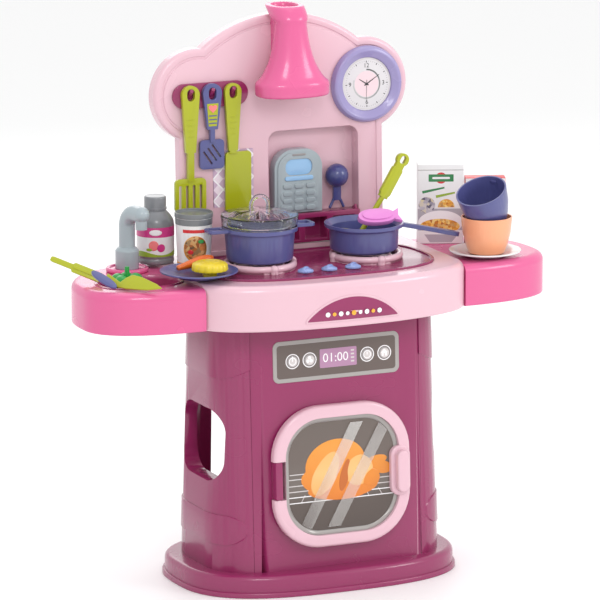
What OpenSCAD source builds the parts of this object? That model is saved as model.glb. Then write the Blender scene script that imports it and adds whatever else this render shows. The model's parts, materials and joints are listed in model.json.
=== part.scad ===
// Toy kitchen: a drafted cabinet on a plinth, a counter with two wings, a hob, a sink with a
// swivelling tap, a backsplash with a hood and a clock, and the loose play pieces that stand on it.
// Millimetres. X runs to the right, Y to the back, Z up. The origin is on the floor under the cabinet.

/* [Base] */
// Half width of the plinth at the floor
base_half_w = 180; // [160:1:210]
// Half depth of the plinth at the floor
base_half_d = 122; // [112:1:140]
// Height of the plinth deck
base_h = 26; // [22:1:34]

/* [Cabinet] */
// Half width of the cabinet at its foot
cab_half_w = 154; // [140:1:158]
// Depth of the cabinet's front face from the origin, at its foot
cab_front = 102; // [98:1:106]
// Depth of the cabinet's back from the origin, at its foot
cab_back = 75; // [70:1:80]
// Height of the cabinet between the plinth deck and the counter
cab_h = 303; // [280:1:340]
// Half width of the front panel between its two seams
panel_half_w = 112; // [108:1:113]
// Wall of the moulded shells
wall = 3; // [2:0.5:4]

/* [Oven door] */
// Half width of the door
door_half_w = 90.5; // [80:0.5:96]
// Half height of the door
door_half_h = 87; // [78:0.5:92]
// Height of the door's middle above the plinth deck
door_mid = 113; // [108:1:120]
// Radius of the door's corners
door_corner = 62; // [40:1:64]
// Thickness of the door frame
door_t = 12; // [10:0.5:14]

/* [Counter] */
// Half width of the light counter between the wings
counter_half_w = 172; // [168:1:182]
// How far each wing reaches beyond the counter
wing_reach = 132; // [120:1:150]
// Height of the counter's body
counter_h = 55; // [48:1:66]
// How far the wing decks lie below the counter's deck
wing_drop = 4; // [2:0.5:6]

/* [Hob] */
// Distance of each burner from the middle
burner_x = 71; // [68:0.5:76]
// Radius of a burner's tube ring
burner_r = 41; // [38:0.5:43]
// Radius of a hob knob
knob_r = 9.5; // [8:0.5:12]

/* [Backsplash] */
// Half width of the straight part of the backsplash
back_half_w = 136; // [126:1:142]
// Height of the top of the backsplash above the counter
back_h = 294; // [280:1:330]
// Radius of each side lobe
lobe_r = 57.4; // [54:0.1:62]
// Depth of the backsplash shell
back_t = 18; // [14:1:24]

/* [Play pieces] */
// Radius of the cooking pot's body
pot_r = 42.7; // [38:0.1:44]
// Height of the cooking pot
pot_h = 41; // [36:1:50]
// Radius of the frying pan's rim
pan_r = 48.5; // [44:0.1:50]
// Radius of a cup's rim
cup_r = 31.6; // [28:0.1:34]
// Radius of the dinner plate
plate_r = 47; // [40:0.5:48]
// Height of the tall food box
box_h = 100; // [80:1:120]

/* [Hidden] */
$fn = 64;
eps = 0.02;
ball_extra = 0.15;

raspberry = "#a03e6c";
light_pink = "#eecdd8";
hot_pink = "#ec76ac";
blue_violet = "#5a5c94";
lime = "#bec800";
lavender = "#a59bcd";
knob_blue = "#96a5d7";
grey_blue = "#a0acb2";

// Plinth
base_mid_y = -12;
base_power = 2.8;
lip_h = 6;
lip_w = 3;
roll = 7;
roll_steps = 5;
rib_t = 4;

// Cabinet draft: the share of the foot's width and depth that is left at the top
draft_w = 0.948;
draft_d = 0.864;
cab_corner = 60;
cab_top = base_h + cab_h;
panel_lean = atan(cab_front * (1 - draft_d) / cab_h);
seam = 0.4;
rear_half_w = 96;
grip_y = -20;
grip_z = 152;
grip_half_y = 52;
grip_half_z = 44.5;
grip_r = 28;
grip_depth = 24;
grip_wall = 2.5;
band_t = 1.6;
low_band_z = 51;
low_band_half = 18;
high_band_z = 270;
high_band_half = 34;
band_tip_y = -95;
reach = 400;

// Oven door and hinge
door_gap = 3;
frame_w = 15;
seat_t = 2.4;
seat_w = 5;
seat_gap = 1.5;
pin_r = 1.8;
pin_play = 0.08;
pin_in = 6.6;
pin_front = 11.5;
pin_end = 12;
block_half_w = 4.4;
block_half_h = 23;
block_t = 14;
notch_gap = 0.5;
hinge_x = -(door_half_w - pin_in);
window_t = 2.5;
window_in = 5;
window_gap = 0.1;
handle_x = door_half_w - 13.5;
handle_half_w = 8;
handle_half_h = 26;
handle_t = 9;
handle_z = door_mid - 2;
pad_rim = 5;
pad_extra_t = 1;
panel_sign_half_w = 83.7;
panel_sign_half_h = 25.4;
panel_sign_z = 255.3;
panel_sign_t = 1;

// Counter and wings
counter_foot = cab_top;
counter_top = counter_foot + counter_h;
wing_top = counter_top - wing_drop;
front_power = 2.3;
front_mid_y = -70;
front_reach = 70;
front_swell = 4;
counter_back = 88;
wing_mid_y = -25;
wing_front = 70;
wing_back = counter_back + 25;
wing_power = 2.5;
edge_r = 9;
edge_steps = 4;
ledge_y = 57;
ledge_h = 8;
badge_half_w = 59;
badge_h = 27;
badge_z = counter_foot + 9.5;
badge_t = 1.8;

// Sink and tap
sink_x = -228;
sink_y = -22;
sink_a = 50;
sink_b = 34;
sink_depth = 32;
sink_power = 2.6;
sink_lip = 4;
sink_lip_t = 1.2;
sink_wall = 2;
sink_gap = 0.3;
tap_x = -216;
tap_y = 44;
tap_ring_r = 26;
tap_ring_h = 6;
tap_body_r = 14.4;
tap_pipe_r = 9.8;
tap_stem_r = 8;
tap_stem_play = 0.08;
tap_body_h = 26;
tap_bend_r = 18;
tap_bend_z = 436;
tap_mouth_r = 7;
tap_turn = 13;

// Hob
hob_half_w = 150;
hob_half_d = 88;
hob_mid_y = -20;
hob_power = 3;
hob_sink = 3;
hob_plate_t = 3.5;
hob_rim = 2;
hob_rim_w = 3.5;
hob_gap = 0.4;
hob_deck = counter_top - hob_sink + hob_plate_t;
burner_y = -24;
burner_tube = 4.2;
burner_z = hob_deck + 5.5;
lobe_ball = 5.5;
ball_r = burner_r + 2;
skirt_w = 4;
dish_r = 33;
knob_y = -71;
knob_step = 31.5;
stem_r = 3;
stem_play = 0.08;
stem_len = 9;
knob_lift = 0.4;
rest_z = burner_z + lobe_ball + 0.3;
rim_top = hob_deck + hob_rim + 0.3;

// Backsplash
back_y = 60.5;
back_lean = 2;
lobe_x = 112;
lobe_z = 200;
arch_r = 167;
groove_in = 10;
groove_w = 2;
groove_d = 0.8;
recess_x0 = -19.5;
recess_x1 = 101.5;
recess_top = 149;
recess_r = 13;
recess_d = 19;
shelf_z = 45;
shelf_t = 6;
shelf_front = 5;
niche_foot = ledge_h;
web_w = 8;
clock_x = 112.8;
clock_z = 199.4;
clock_r = 47.6;
clock_t = 9;
dial_r = 33;
dial_t = 3;
rail_x = -97;
rail_z = 200.8;
rail_half = 49.5;
rail_r = 15.2;
rail_t = 5;
peg_r = 2.4;
peg_len = 15;
peg_rise = 40;
peg_z = 586;
peg_xs = [-126, -97.5, -70];
tool_y = 55.5;
tool_t = 6;
eye_half_w = 5;
eye_half_h = 7.5;
eye_rise = 1.3;

hood_gap = 0.3;

// Play pieces
dish_wall = 2;
pot_x = -burner_x;
pan_x = burner_x - 3;
rim_w = 3.6;
pan_h = 34;
lid_gap = 0.4;
can_x = -141;
can_y = 14;
bottle_x = -170.5;
bottle_y = 62;
plate_x = -163;
plate_y = -52;
cup_x = 222;
cup_y = -50;
cup_h = 46;
cup_foot = wing_top + 3.2;
face_turn = -22;

function side(v) = v < 0 ? -1 : 1;
// A point on a squared oval: a and b are its half axes and n its squareness
function oval_point(a, b, n, t) = [
    a * side(cos(t)) * pow(abs(cos(t)), 2 / n),
    b * side(sin(t)) * pow(abs(sin(t)), 2 / n)
];

module squared_oval(a, b, n, steps = 72) {
    polygon([for (i = [0 : steps - 1]) oval_point(a, b, n, i * 360 / steps)]);
}

module rounded(half_x, half_y, r) {
    square([2 * (half_x - r), 2 * half_y], center = true);
    square([2 * half_x, 2 * (half_y - r)], center = true);
    for (sx = [-1, 1], sy = [-1, 1])
        translate([sx * (half_x - r), sy * (half_y - r)]) circle(r);
}

// A flat shape seen from the front, t thick towards the front
module upright(t) {
    rotate([90, 0, 0]) linear_extrude(t) children();
}

// A flat shape seen from the right-hand side, t thick towards +X
module sideways(t) {
    rotate([90, 0, 90]) linear_extrude(t) children();
}

// The leaning plane of the front panel: its foot is at z = 0
module on_panel() {
    translate([0, -cab_front, base_h]) rotate([-panel_lean, 0, 0]) children();
}

// The leaning plane of the backsplash: the counter's deck is at z = 0
module on_back() {
    translate([0, back_y, counter_top]) rotate([-back_lean, 0, 0]) children();
}

// A bar between two points with ball ends
module bar(a, b, r) {
    v = b - a;
    len = norm(v);
    translate(a) {
        rotate([0, acos(v[2] / len), atan2(v[1], v[0])]) cylinder(h = len, r = r);
        sphere(r + ball_extra);
    }
    translate(b) sphere(r + ball_extra);
}

// A closed skin through a stack of rings, each with the same number of points
module loft(rings) {
    n = len(rings[0]);
    last = len(rings) - 1;
    polyhedron(
        points = [for (ring = rings, p = ring) p],
        faces = concat(
            [[for (i = [0 : n - 1]) i]],
            [[for (i = [n - 1 : -1 : 0]) last * n + i]],
            [for (k = [0 : last - 1], i = [0 : n - 1])
                let (j = (i + 1) % n) [k * n + i, (k + 1) * n + i, (k + 1) * n + j, k * n + j]]
        )
    );
}

// ---- plinth ----
module base_plan(inset) {
    translate([0, base_mid_y])
        squared_oval(base_half_w - inset, base_half_d - inset, base_power);
}

module base_plinth() {
    color(raspberry) {
        difference() {
            union() {
                linear_extrude(lip_h) base_plan(0);
                linear_extrude(base_h - roll) base_plan(lip_w);
                for (i = [1 : roll_steps]) {
                    a = 90 * i / roll_steps;
                    b = 90 * (i - 1) / roll_steps;
                    translate([0, 0, base_h - roll])
                        linear_extrude(roll * sin(a)) base_plan(lip_w + roll * (1 - cos(b)));
                }
            }
            translate([0, 0, -1])
                linear_extrude(base_h - wall + 1) base_plan(lip_w + roll + wall);
        }
        linear_extrude(base_h - wall + eps) intersection() {
            base_plan(lip_w + wall);
            union() {
                square([2 * base_half_w, rib_t], center = true);
                square([rib_t, 4 * base_half_d], center = true);
            }
        }
    }
}

// ---- cabinet ----
module cab_plan(grow) {
    translate([0, (cab_back - cab_front) / 2])
        rounded(cab_half_w + grow, (cab_front + cab_back) / 2 + grow, cab_corner + grow);
}

// The drafted cabinet body between two heights above the plinth deck
module cab_body(grow, z0, z1) {
    translate([0, 0, base_h]) hull() for (z = [z0, z1]) translate([0, 0, z]) linear_extrude(eps)
        scale([1 - (1 - draft_w) * z / cab_h, 1 - (1 - draft_d) * z / cab_h]) cab_plan(grow, $fn = 40);
}

module cab_solid(grow) { cab_body(grow, 0, cab_h - eps); }
module cab_hollow(grow) { cab_body(grow, -1, cab_h + 1); }

module band(z, half) {
    intersection() {
        difference() {
            cab_solid(band_t);
            cab_hollow(-1);
        }
        translate([-reach, 0, base_h + z]) sideways(reach - panel_half_w - seam) {
            translate([band_tip_y + half, 0]) circle(half);
            translate([band_tip_y + half, -half]) square([cab_back + half - band_tip_y, 2 * half]);
        }
        cube([2 * reach, 2 * reach, 2 * cab_top], center = true);
    }
}

module grip_cut(grow, depth) {
    translate([-cab_half_w - 10, grip_y, base_h + grip_z])
        sideways(depth + 10) rounded(grip_half_y + grow, grip_half_z + grow, grip_r + grow);
}

module column() {
    difference() {
        union() {
            intersection() {
                union() {
                    difference() {
                        cab_solid(0);
                        cab_hollow(-wall);
                    }
                    band(low_band_z, low_band_half);
                    band(high_band_z, high_band_half);
                }
                linear_extrude(cab_top) {
                    translate([-reach, -reach]) square([reach - panel_half_w - seam / 2, 2 * reach]);
                    translate([-reach, 0]) square([reach - rear_half_w, reach]);
                }
            }
            intersection() {
                cab_solid(-1);
                grip_cut(grip_wall, grip_depth);
            }
        }
        grip_cut(0, grip_depth + 60);
    }
}

module left_column() { color(raspberry) column(); }
module right_column() { color(raspberry) mirror([1, 0, 0]) column(); }

module door_opening(grow, t) {
    translate([0, t / 2, door_mid])
        upright(t) rounded(door_half_w - frame_w + grow, door_half_h - frame_w + grow,
                           door_corner - frame_w + grow);
}

module front_panel() {
    inset = seat_gap + seat_w;
    color(raspberry) {
        difference() {
            intersection() {
                difference() {
                    cab_solid(0);
                    cab_hollow(-wall);
                }
                translate([-panel_half_w + seam / 2, -reach, 0])
                    cube([2 * panel_half_w - seam, reach, cab_top]);
            }
            on_panel() door_opening(-inset, 30);
        }
        on_panel() translate([0, 0.5, 0]) difference() {
            translate([0, 0, door_mid]) upright(seat_t + 0.5)
                rounded(door_half_w - frame_w - seat_gap, door_half_h - frame_w - seat_gap,
                        door_corner - frame_w - seat_gap);
            door_opening(-inset, 30);
        }
    }
}

module hinge_block() {
    color(raspberry) on_panel() translate([hinge_x, 0, door_mid]) difference() {
        translate([-block_half_w, -block_t, -block_half_h])
            cube([2 * block_half_w, block_t - eps, 2 * block_half_h]);
        translate([0, -pin_front, 0]) cylinder(h = 3 * block_half_h, r = pin_r, center = true);
    }
}

module hinge_pin() {
    color("silver") on_panel() translate([hinge_x, -pin_front, door_mid])
        cylinder(h = 2 * (block_half_h + pin_end), r = pin_r, center = true);
}

module oven_door() {
    color(light_pink) on_panel() translate([0, -door_gap, door_mid]) difference() {
        union() {
            upright(door_t) difference() {
                rounded(door_half_w, door_half_h, door_corner);
                rounded(door_half_w - frame_w, door_half_h - frame_w, door_corner - frame_w);
            }
            translate([handle_x, 0, handle_z - door_mid]) upright(door_t + pad_extra_t)
                rounded(handle_half_w + pad_rim, handle_half_h + pad_rim, handle_half_w + pad_rim - 1);
        }
        translate([-door_half_w - 1, -2 * door_t, -block_half_h - notch_gap])
            cube([frame_w + 2, 3 * door_t, 2 * (block_half_h + notch_gap)]);
        translate([hinge_x, door_gap - pin_front, 0])
            cylinder(h = 2 * (block_half_h + pin_end + 1), r = pin_r + pin_play, center = true);
    }
}

module oven_window() {
    color("#c8c4c0") on_panel() translate([0, -door_gap - window_in, door_mid]) upright(window_t)
        difference() {
            rounded(door_half_w - frame_w - window_gap, door_half_h - frame_w - window_gap,
                    door_corner - frame_w - window_gap);
            translate([handle_x, handle_z - door_mid])
                rounded(handle_half_w + pad_rim + window_gap, handle_half_h + pad_rim + window_gap,
                        handle_half_w + pad_rim - 1);
        }
}

module oven_handle() {
    color(light_pink) on_panel()
        translate([handle_x, -door_gap - door_t - pad_extra_t - eps, handle_z])
            upright(handle_t) rounded(handle_half_w, handle_half_h, handle_half_w - eps);
}

module control_panel() {
    color("#82766e") on_panel() translate([0, -eps, panel_sign_z])
        upright(panel_sign_t) rounded(panel_sign_half_w, panel_sign_half_h, 8);
}

// ---- counter ----
module counter_plan(inset) {
    intersection() {
        union() {
            translate([0, front_mid_y])
                squared_oval(counter_half_w + front_swell - inset, front_reach - inset, front_power);
            translate([-counter_half_w, front_mid_y])
                square([2 * counter_half_w, counter_back - front_mid_y - inset]);
        }
        translate([-counter_half_w, -reach]) square([2 * counter_half_w, 2 * reach]);
    }
}

module wing_plan(inset) {
    polygon([
        for (i = [-36 : 36])
            let (p = oval_point(wing_reach - inset, 1, wing_power, i * 2.5))
            [counter_half_w + p[0], wing_mid_y + p[1] * ((p[1] < 0 ? wing_front : wing_back) - inset)]
    ]);
}

// Stacked slices that round the top edge of a plan
module soft_edge(top) {
    for (i = [1 : edge_steps]) {
        a = 90 * i / edge_steps;
        b = 90 * (i - 1) / edge_steps;
        translate([0, 0, top - edge_r]) linear_extrude(edge_r * sin(a))
            if ($wing) wing_plan(edge_r * (1 - cos(b)));
            else counter_plan(edge_r * (1 - cos(b)));
    }
}

module hob_plan(grow) {
    intersection() {
        translate([0, hob_mid_y])
            squared_oval(hob_half_w + grow, hob_half_d + grow, hob_power);
        translate([-reach, -reach]) square([2 * reach, reach + ledge_y - 1 + grow]);
    }
}

module counter_centre() {
    $wing = false;
    color(light_pink) {
        difference() {
            union() {
                translate([0, 0, counter_foot]) linear_extrude(counter_h - edge_r) counter_plan(0);
                soft_edge(counter_top);
                translate([-back_half_w, ledge_y, counter_top - 1])
                    cube([2 * back_half_w, back_y - ledge_y + 2, ledge_h + 1]);
            }
            translate([0, 0, counter_foot + wall]) linear_extrude(counter_h - 2 * wall - hob_sink)
                intersection() {
                    counter_plan(wall + edge_r / 2);
                    square([2 * (counter_half_w - wall), 2 * reach], center = true);
                }
            translate([0, 0, counter_foot - 1]) linear_extrude(wall + 2)
                translate([0, (cab_back - cab_front) / 2]) rounded(cab_half_w - 30, 55, 30);
            translate([0, 0, counter_top - hob_sink]) linear_extrude(reach) hob_plan(hob_gap);
            for (i = [-1 : 1]) translate([i * knob_step, knob_y, counter_foot + wall + 1])
                cylinder(h = counter_h, r = 2 * stem_r);
            on_back() translate([-reach, 0, ledge_h - 3 + eps]) cube([2 * reach, reach, reach]);
        }
    }
}

module badge_outline(inset) {
    intersection() {
        translate([0, badge_h - 80]) circle(80 - inset, $fn = 96);
        translate([-badge_half_w, inset]) square([2 * badge_half_w, badge_h]);
    }
}

module badge() {
    color(raspberry) intersection() {
        translate([0, 0, badge_z]) translate([0, -100, 0]) upright(60) badge_outline(0);
        translate([0, 0, counter_foot]) linear_extrude(counter_h) difference() {
            counter_plan(-badge_t);
            counter_plan(-eps);
        }
    }
}

module wing() {
    $wing = true;
    difference() {
        union() {
            translate([0, 0, counter_foot])
                linear_extrude(wing_top - counter_foot - edge_r) wing_plan(0);
            soft_edge(wing_top);
        }
        translate([0, 0, counter_foot + wall])
            linear_extrude(wing_top - counter_foot - 2 * wall) intersection() {
                wing_plan(wall + edge_r / 2);
                translate([counter_half_w + wall, -reach]) square([reach, 2 * reach]);
            }
        translate([counter_half_w + wing_reach / 2, wing_mid_y + 10, counter_foot - 1])
            linear_extrude(wall + 2) rounded(wing_reach / 3, wing_front / 1.5, 20);
    }
}

module left_wing() {
    color(hot_pink) difference() {
        mirror([1, 0, 0]) wing();
        translate([sink_x, sink_y, wing_top - wall - 1])
            linear_extrude(wall + 2) squared_oval(sink_a + sink_gap, sink_b + sink_gap, sink_power);
        translate([tap_x, tap_y, wing_top - wall - 1])
            cylinder(h = wall + 2, r = tap_stem_r + 1);
    }
}

module right_wing() { color(hot_pink) wing(); }

module sink_basin() {
    color("#c9558f") translate([sink_x, sink_y, wing_top]) difference() {
        union() {
            translate([0, 0, eps]) linear_extrude(sink_lip_t)
                squared_oval(sink_a + sink_lip, sink_b + sink_lip, sink_power);
            translate([0, 0, -sink_depth])
                linear_extrude(sink_depth + sink_lip_t) squared_oval(sink_a, sink_b, sink_power);
        }
        translate([0, 0, sink_wall - sink_depth]) linear_extrude(sink_depth + 5)
            squared_oval(sink_a - sink_wall, sink_b - sink_wall, sink_power);
    }
}

// ---- tap ----
module faucet_ring() {
    color(hot_pink) translate([tap_x, tap_y, wing_top + eps]) rotate_extrude() difference() {
        union() {
            translate([tap_ring_r - tap_ring_h / 2, tap_ring_h / 2]) circle(tap_ring_h / 2);
            translate([tap_stem_r + tap_stem_play, 0])
                square([tap_ring_r - tap_ring_h / 2 - tap_stem_r - tap_stem_play, tap_ring_h / 2 + 1]);
        }
    }
}

module faucet() {
    foot = wing_top + tap_ring_h / 2 + 1 + 0.3;
    color(grey_blue) translate([tap_x, tap_y, 0]) rotate([0, 0, tap_turn]) {
        rotate_extrude() polygon([
            [0, wing_top - wall], [tap_stem_r, wing_top - wall], [tap_stem_r, foot], [tap_body_r, foot],
            [tap_body_r, foot + tap_body_h - 4], [tap_pipe_r + 1, foot + tap_body_h],
            [tap_pipe_r, foot + tap_body_h], [tap_pipe_r, tap_bend_z], [0, tap_bend_z]
        ]);
        translate([0, -tap_bend_r, tap_bend_z]) rotate([0, 90, 0])
            rotate([0, 0, 90]) rotate_extrude(angle = 90) translate([tap_bend_r, 0]) circle(tap_pipe_r);
        translate([0, -tap_bend_r, tap_bend_z + tap_bend_r]) rotate([90, 0, 0])
            cylinder(h = 12, r = tap_pipe_r);
        translate([0, -tap_bend_r - 12, tap_bend_z + tap_bend_r - 18])
            cylinder(h = 18, r = tap_mouth_r);
        translate([0, -tap_bend_r - 12, tap_bend_z + tap_bend_r]) sphere(tap_pipe_r + ball_extra);
    }
}

// ---- hob ----
module hob_plate() {
    color(raspberry) difference() {
        union() {
            translate([0, 0, counter_top - hob_sink])
                linear_extrude(hob_plate_t) hob_plan(0);
            translate([0, 0, hob_deck - eps]) linear_extrude(hob_rim) difference() {
                hob_plan(0);
                hob_plan(-hob_rim_w);
            }
        }
        for (i = [-1 : 1]) translate([i * knob_step, knob_y, counter_top - hob_sink - 1])
            cylinder(h = hob_plate_t + 2, r = stem_r + stem_play);
    }
}

module burner(x) {
    color(light_pink) translate([x, burner_y, 0]) {
        translate([0, 0, burner_z]) rotate_extrude() translate([burner_r, 0]) circle(burner_tube);
        translate([0, 0, hob_deck + eps]) rotate_extrude()
            translate([burner_r - skirt_w / 2, 0]) square([skirt_w, burner_z - hob_deck - 1]);
        for (a = [0 : 90 : 270]) rotate([0, 0, a]) {
            translate([ball_r, 0, burner_z]) sphere(lobe_ball);
            translate([ball_r, 0, hob_deck + eps]) cylinder(h = burner_z - hob_deck, r = lobe_ball - 0.5);
        }
    }
}

module left_burner() { burner(-burner_x); }
module right_burner() { burner(burner_x); }

module burner_dish(x) {
    color("silver") translate([x, burner_y, hob_deck + eps]) rotate_extrude() polygon([
        [0, 0], [dish_r, 0], [dish_r, 4], [dish_r - 2, 4], [dish_r - 5, 2], [9, 1.5], [8, 3], [0, 3.5]
    ]);
}

module left_burner_dish() { burner_dish(-burner_x); }
module right_burner_dish() { burner_dish(burner_x); }

module knob(i) {
    color(knob_blue) translate([i * knob_step, knob_y, hob_deck + knob_lift]) {
        cylinder(h = 2.5, r = knob_r);
        translate([0, 0, 2.5]) cylinder(h = 2.5, r1 = knob_r - 1, r2 = knob_r - 3.5);
        translate([0, 0, -stem_len]) cylinder(h = stem_len + 1, r = stem_r);
        rotate([0, 0, 40]) translate([0, 1.8, 2]) rotate([90, 0, 0]) linear_extrude(3.6)
            polygon([[-knob_r + 1, 0], [knob_r - 1, 0], [5, 5], [2.4, 6.5], [-2.4, 6.5], [-5, 5]]);
    }
}

module left_knob() { knob(-1); }
module middle_knob() { knob(0); }
module right_knob() { knob(1); }

// ---- backsplash ----
module back_outline(inset) {
    translate([-back_half_w + inset, -20]) square([2 * (back_half_w - inset), lobe_z + 40]);
    for (s = [-1, 1]) translate([s * lobe_x, lobe_z]) circle(lobe_r - inset, $fn = 96);
    intersection() {
        translate([0, back_h - arch_r]) circle(arch_r - inset, $fn = 128);
        translate([-lobe_x, lobe_z]) square([2 * lobe_x, back_h]);
    }
}

module recess_plan(grow) {
    w = recess_x1 - recess_x0;
    h = recess_top - niche_foot;
    translate([(recess_x0 + recess_x1) / 2, recess_top - h / 2])
        rounded(w / 2 + grow, h / 2 + grow, recess_r);
    translate([recess_x0 - grow, niche_foot]) square([w + 2 * grow, h / 2]);
}

module backsplash() {
    color(light_pink) difference() {
        on_back() union() {
            difference() {
                translate([0, back_t, 0]) upright(back_t) back_outline(0);
                translate([0, back_t + 1, 0]) upright(back_t - wall + 1) back_outline(wall);
                translate([0, groove_d - eps, 0]) upright(groove_d + 1) difference() {
                    back_outline(groove_in);
                    back_outline(groove_in + groove_w);
                }
            }
            translate([0, recess_d + wall, 0]) upright(recess_d + wall) recess_plan(wall);
        }
        on_back() translate([0, recess_d, 0]) upright(recess_d + 1) recess_plan(0);
        translate([0, 0, counter_top - reach]) cube([4 * reach, 4 * reach, 2 * reach], center = true);
        translate([-reach, 0, counter_top - 1]) cube([2 * reach, back_y + 2, ledge_h + 1]);
    }
}

module shelf_riser() {
    x0 = recess_x0 + 0.3;
    x1 = recess_x1 - 0.3;
    gap = (x1 - x0 - 4 * web_w) / 3;
    color(raspberry) on_back() difference() {
        union() {
            translate([0, recess_d - 0.3, 0]) upright(recess_d + shelf_front - 0.3)
                translate([x0, niche_foot + 1]) square([x1 - x0, shelf_z - niche_foot - 1]);
            translate([x1 - 5, -shelf_front + 3, shelf_z - 1]) rotate([90, 0, 90])
                linear_extrude(3) polygon([[0, 0], [16, 0], [3, 7]]);
        }
        for (i = [0 : 2]) translate([x0 + web_w + i * (gap + web_w), -shelf_front - 1, niche_foot + 5])
            cube([gap, recess_d + shelf_front - wall, shelf_z - shelf_t - niche_foot - 5]);
    }
}

// Slices of the hood: height, middle depth, half width, half depth
hood_slices = [
    [582, 37, 45.6, 29.5], [584, 37, 46.6, 30], [598, 37, 46.6, 30], [606, 37.5, 38, 26],
    [626, 39, 27, 22], [672, 42, 19, 18], [680, 50, 22, 24], [689, 60, 22, 27]
];

hood_steps = 40;

function hood_ring(s) = [
    for (i = [0 : hood_steps - 1])
        let (p = oval_point(s[2], s[3], 2.5, i * 360 / hood_steps)) [p[0], s[1] + p[1], s[0]]
];

module hood() {
    color(hot_pink) difference() {
        union() {
            loft([for (s = hood_slices) hood_ring(s)]);
            translate([-14, 44, 600]) cube([28, 30, 78]);
        }
        on_back() translate([-reach, -eps, -reach])
            cube([2 * reach, reach, reach + back_h + hood_gap]);
        translate([0, 37, 580]) linear_extrude(14) squared_oval(43, 26.5, 2.5, hood_steps);
    }
}

module clock_ring() {
    color(lavender) on_back() translate([clock_x, -eps, clock_z]) rotate([90, 0, 0]) rotate_extrude()
        polygon([
            [dial_r, 0], [clock_r, 0], [clock_r, 3], [clock_r - 2.5, clock_t - 1],
            [clock_r - 6, clock_t], [dial_r + 5, clock_t - 2], [dial_r, clock_t - 4]
        ]);
}

module clock_dial() {
    color("white") on_back() translate([clock_x, -eps, clock_z]) rotate([90, 0, 0])
        cylinder(h = dial_t, r = dial_r - 0.1);
}

module utensil_rail() {
    color(raspberry) {
        on_back() translate([rail_x, -eps, rail_z]) upright(rail_t) rounded(rail_half, rail_r, rail_r - eps);
        for (x = peg_xs) translate([x, tool_y + tool_t + 3, peg_z - 3 * tan(peg_rise)])
            rotate([90 - peg_rise, 0, 0]) cylinder(h = peg_len, r = peg_r);
    }
}

module tile_sticker() {
    color("#d9b8cc") on_back() translate([-67, -eps, 96]) upright(0.5) rounded(27, 35, 2);
}

// ---- handset and scoop ----
module handset_plan(inset) {
    translate([0, 12]) rounded(32 - inset, 30 - inset, 24 - inset);
    translate([-32 + inset, -37 + inset]) square([2 * (32 - inset), 49]);
}

module handset() {
    foot = counter_top + shelf_z + 0.6;
    color(grey_blue) translate([21, 79, foot + 37]) difference() {
        union() {
            upright(14) handset_plan(0);
            translate([0, -13, 0]) upright(2.5) handset_plan(4);
            for (i = [-1 : 1], k = [0 : 1]) translate([i * 18, -15, -29 + k * 13])
                upright(1.5) rounded(6.5, 4.5, 3);
        }
        translate([0, -13, 20]) upright(5) rounded(18, 10, 9);
    }
}

module handset_screen() {
    foot = counter_top + shelf_z + 0.6;
    color("#9cc6e8") translate([21, 65.9, foot + 57]) upright(1.2) rounded(17.9, 9.9, 8.9);
}

module measuring_scoop() {
    foot = counter_top + shelf_z + 0.6;
    color("#3c4078") translate([76, 72, foot]) {
        difference() {
            translate([0, 0, 41]) rotate([90, 0, 0]) sphere(14.5);
            translate([-20, 3, 20]) cube([40, 20, 40]);
            translate([0, 3.1, 41]) sphere(12.7);
        }
        translate([-5, -2, 10]) cube([10, 4, 20]);
        for (s = [-1, 1]) bar([s * 9, 0, 2], [s * 3.5, 0, 13], 1.8);
    }
}

// ---- hanging tools ----
// A handle with an eye at its top, seen from the front; the eye's middle is at the origin
module tool_handle(half_w, down) {
    difference() {
        union() {
            circle(half_w);
            translate([0, -down]) polygon([
                [-half_w * 0.55, 0], [half_w * 0.55, 0], [half_w, down], [-half_w, down]
            ]);
        }
        rounded(eye_half_w, eye_half_h, eye_half_w - eps);
    }
}

module at_peg(i) {
    translate([peg_xs[i], tool_y + tool_t, peg_z + eye_rise]) children();
}

module fork_spatula() {
    color(lime) at_peg(0) {
        upright(tool_t) {
            tool_handle(11.5, 71);
            translate([-4, -106]) square([8, 38]);
        }
        upright(tool_t - 2) translate([0, -124]) difference() {
            rounded(20.5, 21, 6);
            for (i = [-1.5 : 1.5]) translate([i * 9, -2]) rounded(1.8, 15, 1.7);
        }
    }
}

module small_spatula() {
    color(blue_violet) at_peg(1) {
        upright(tool_t) {
            tool_handle(12.5, 44);
            translate([-3, -60]) square([6, 18]);
        }
        upright(tool_t - 2) translate([0, -75]) difference() {
            rounded(16, 18, 5);
            for (i = [-1 : 1]) rotate(35) translate([i * 7, 0]) rounded(1.2, 10, 1.1);
        }
    }
}

module cleaver() {
    color(lime) at_peg(2) {
        upright(tool_t) {
            tool_handle(11, 72);
            translate([-4.5, -76]) square([9, 8]);
        }
        upright(tool_t - 2) translate([7.5, -112]) rounded(17, 38, 5);
    }
}

// ---- cooking pieces ----
module pot() {
    color(blue_violet) translate([pot_x, burner_y, rest_z]) {
        rotate_extrude() polygon([
            [0, 0], [pot_r - 4, 0], [pot_r - 2.4, 2], [pot_r, pot_h - 6], [pot_r + rim_w, pot_h - 5],
            [pot_r + rim_w, pot_h], [pot_r - dish_wall, pot_h], [pot_r - 4, dish_wall + 2],
            [pot_r - 6, dish_wall], [0, dish_wall]
        ]);
        for (s = [0, 180]) rotate([0, 0, s]) translate([pot_r + 13, 0, pot_h - 4])
            linear_extrude(4) difference() {
                rounded(14, 12, 6);
                translate([2, 0]) rounded(7, 7, 3);
            }
    }
}

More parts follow.
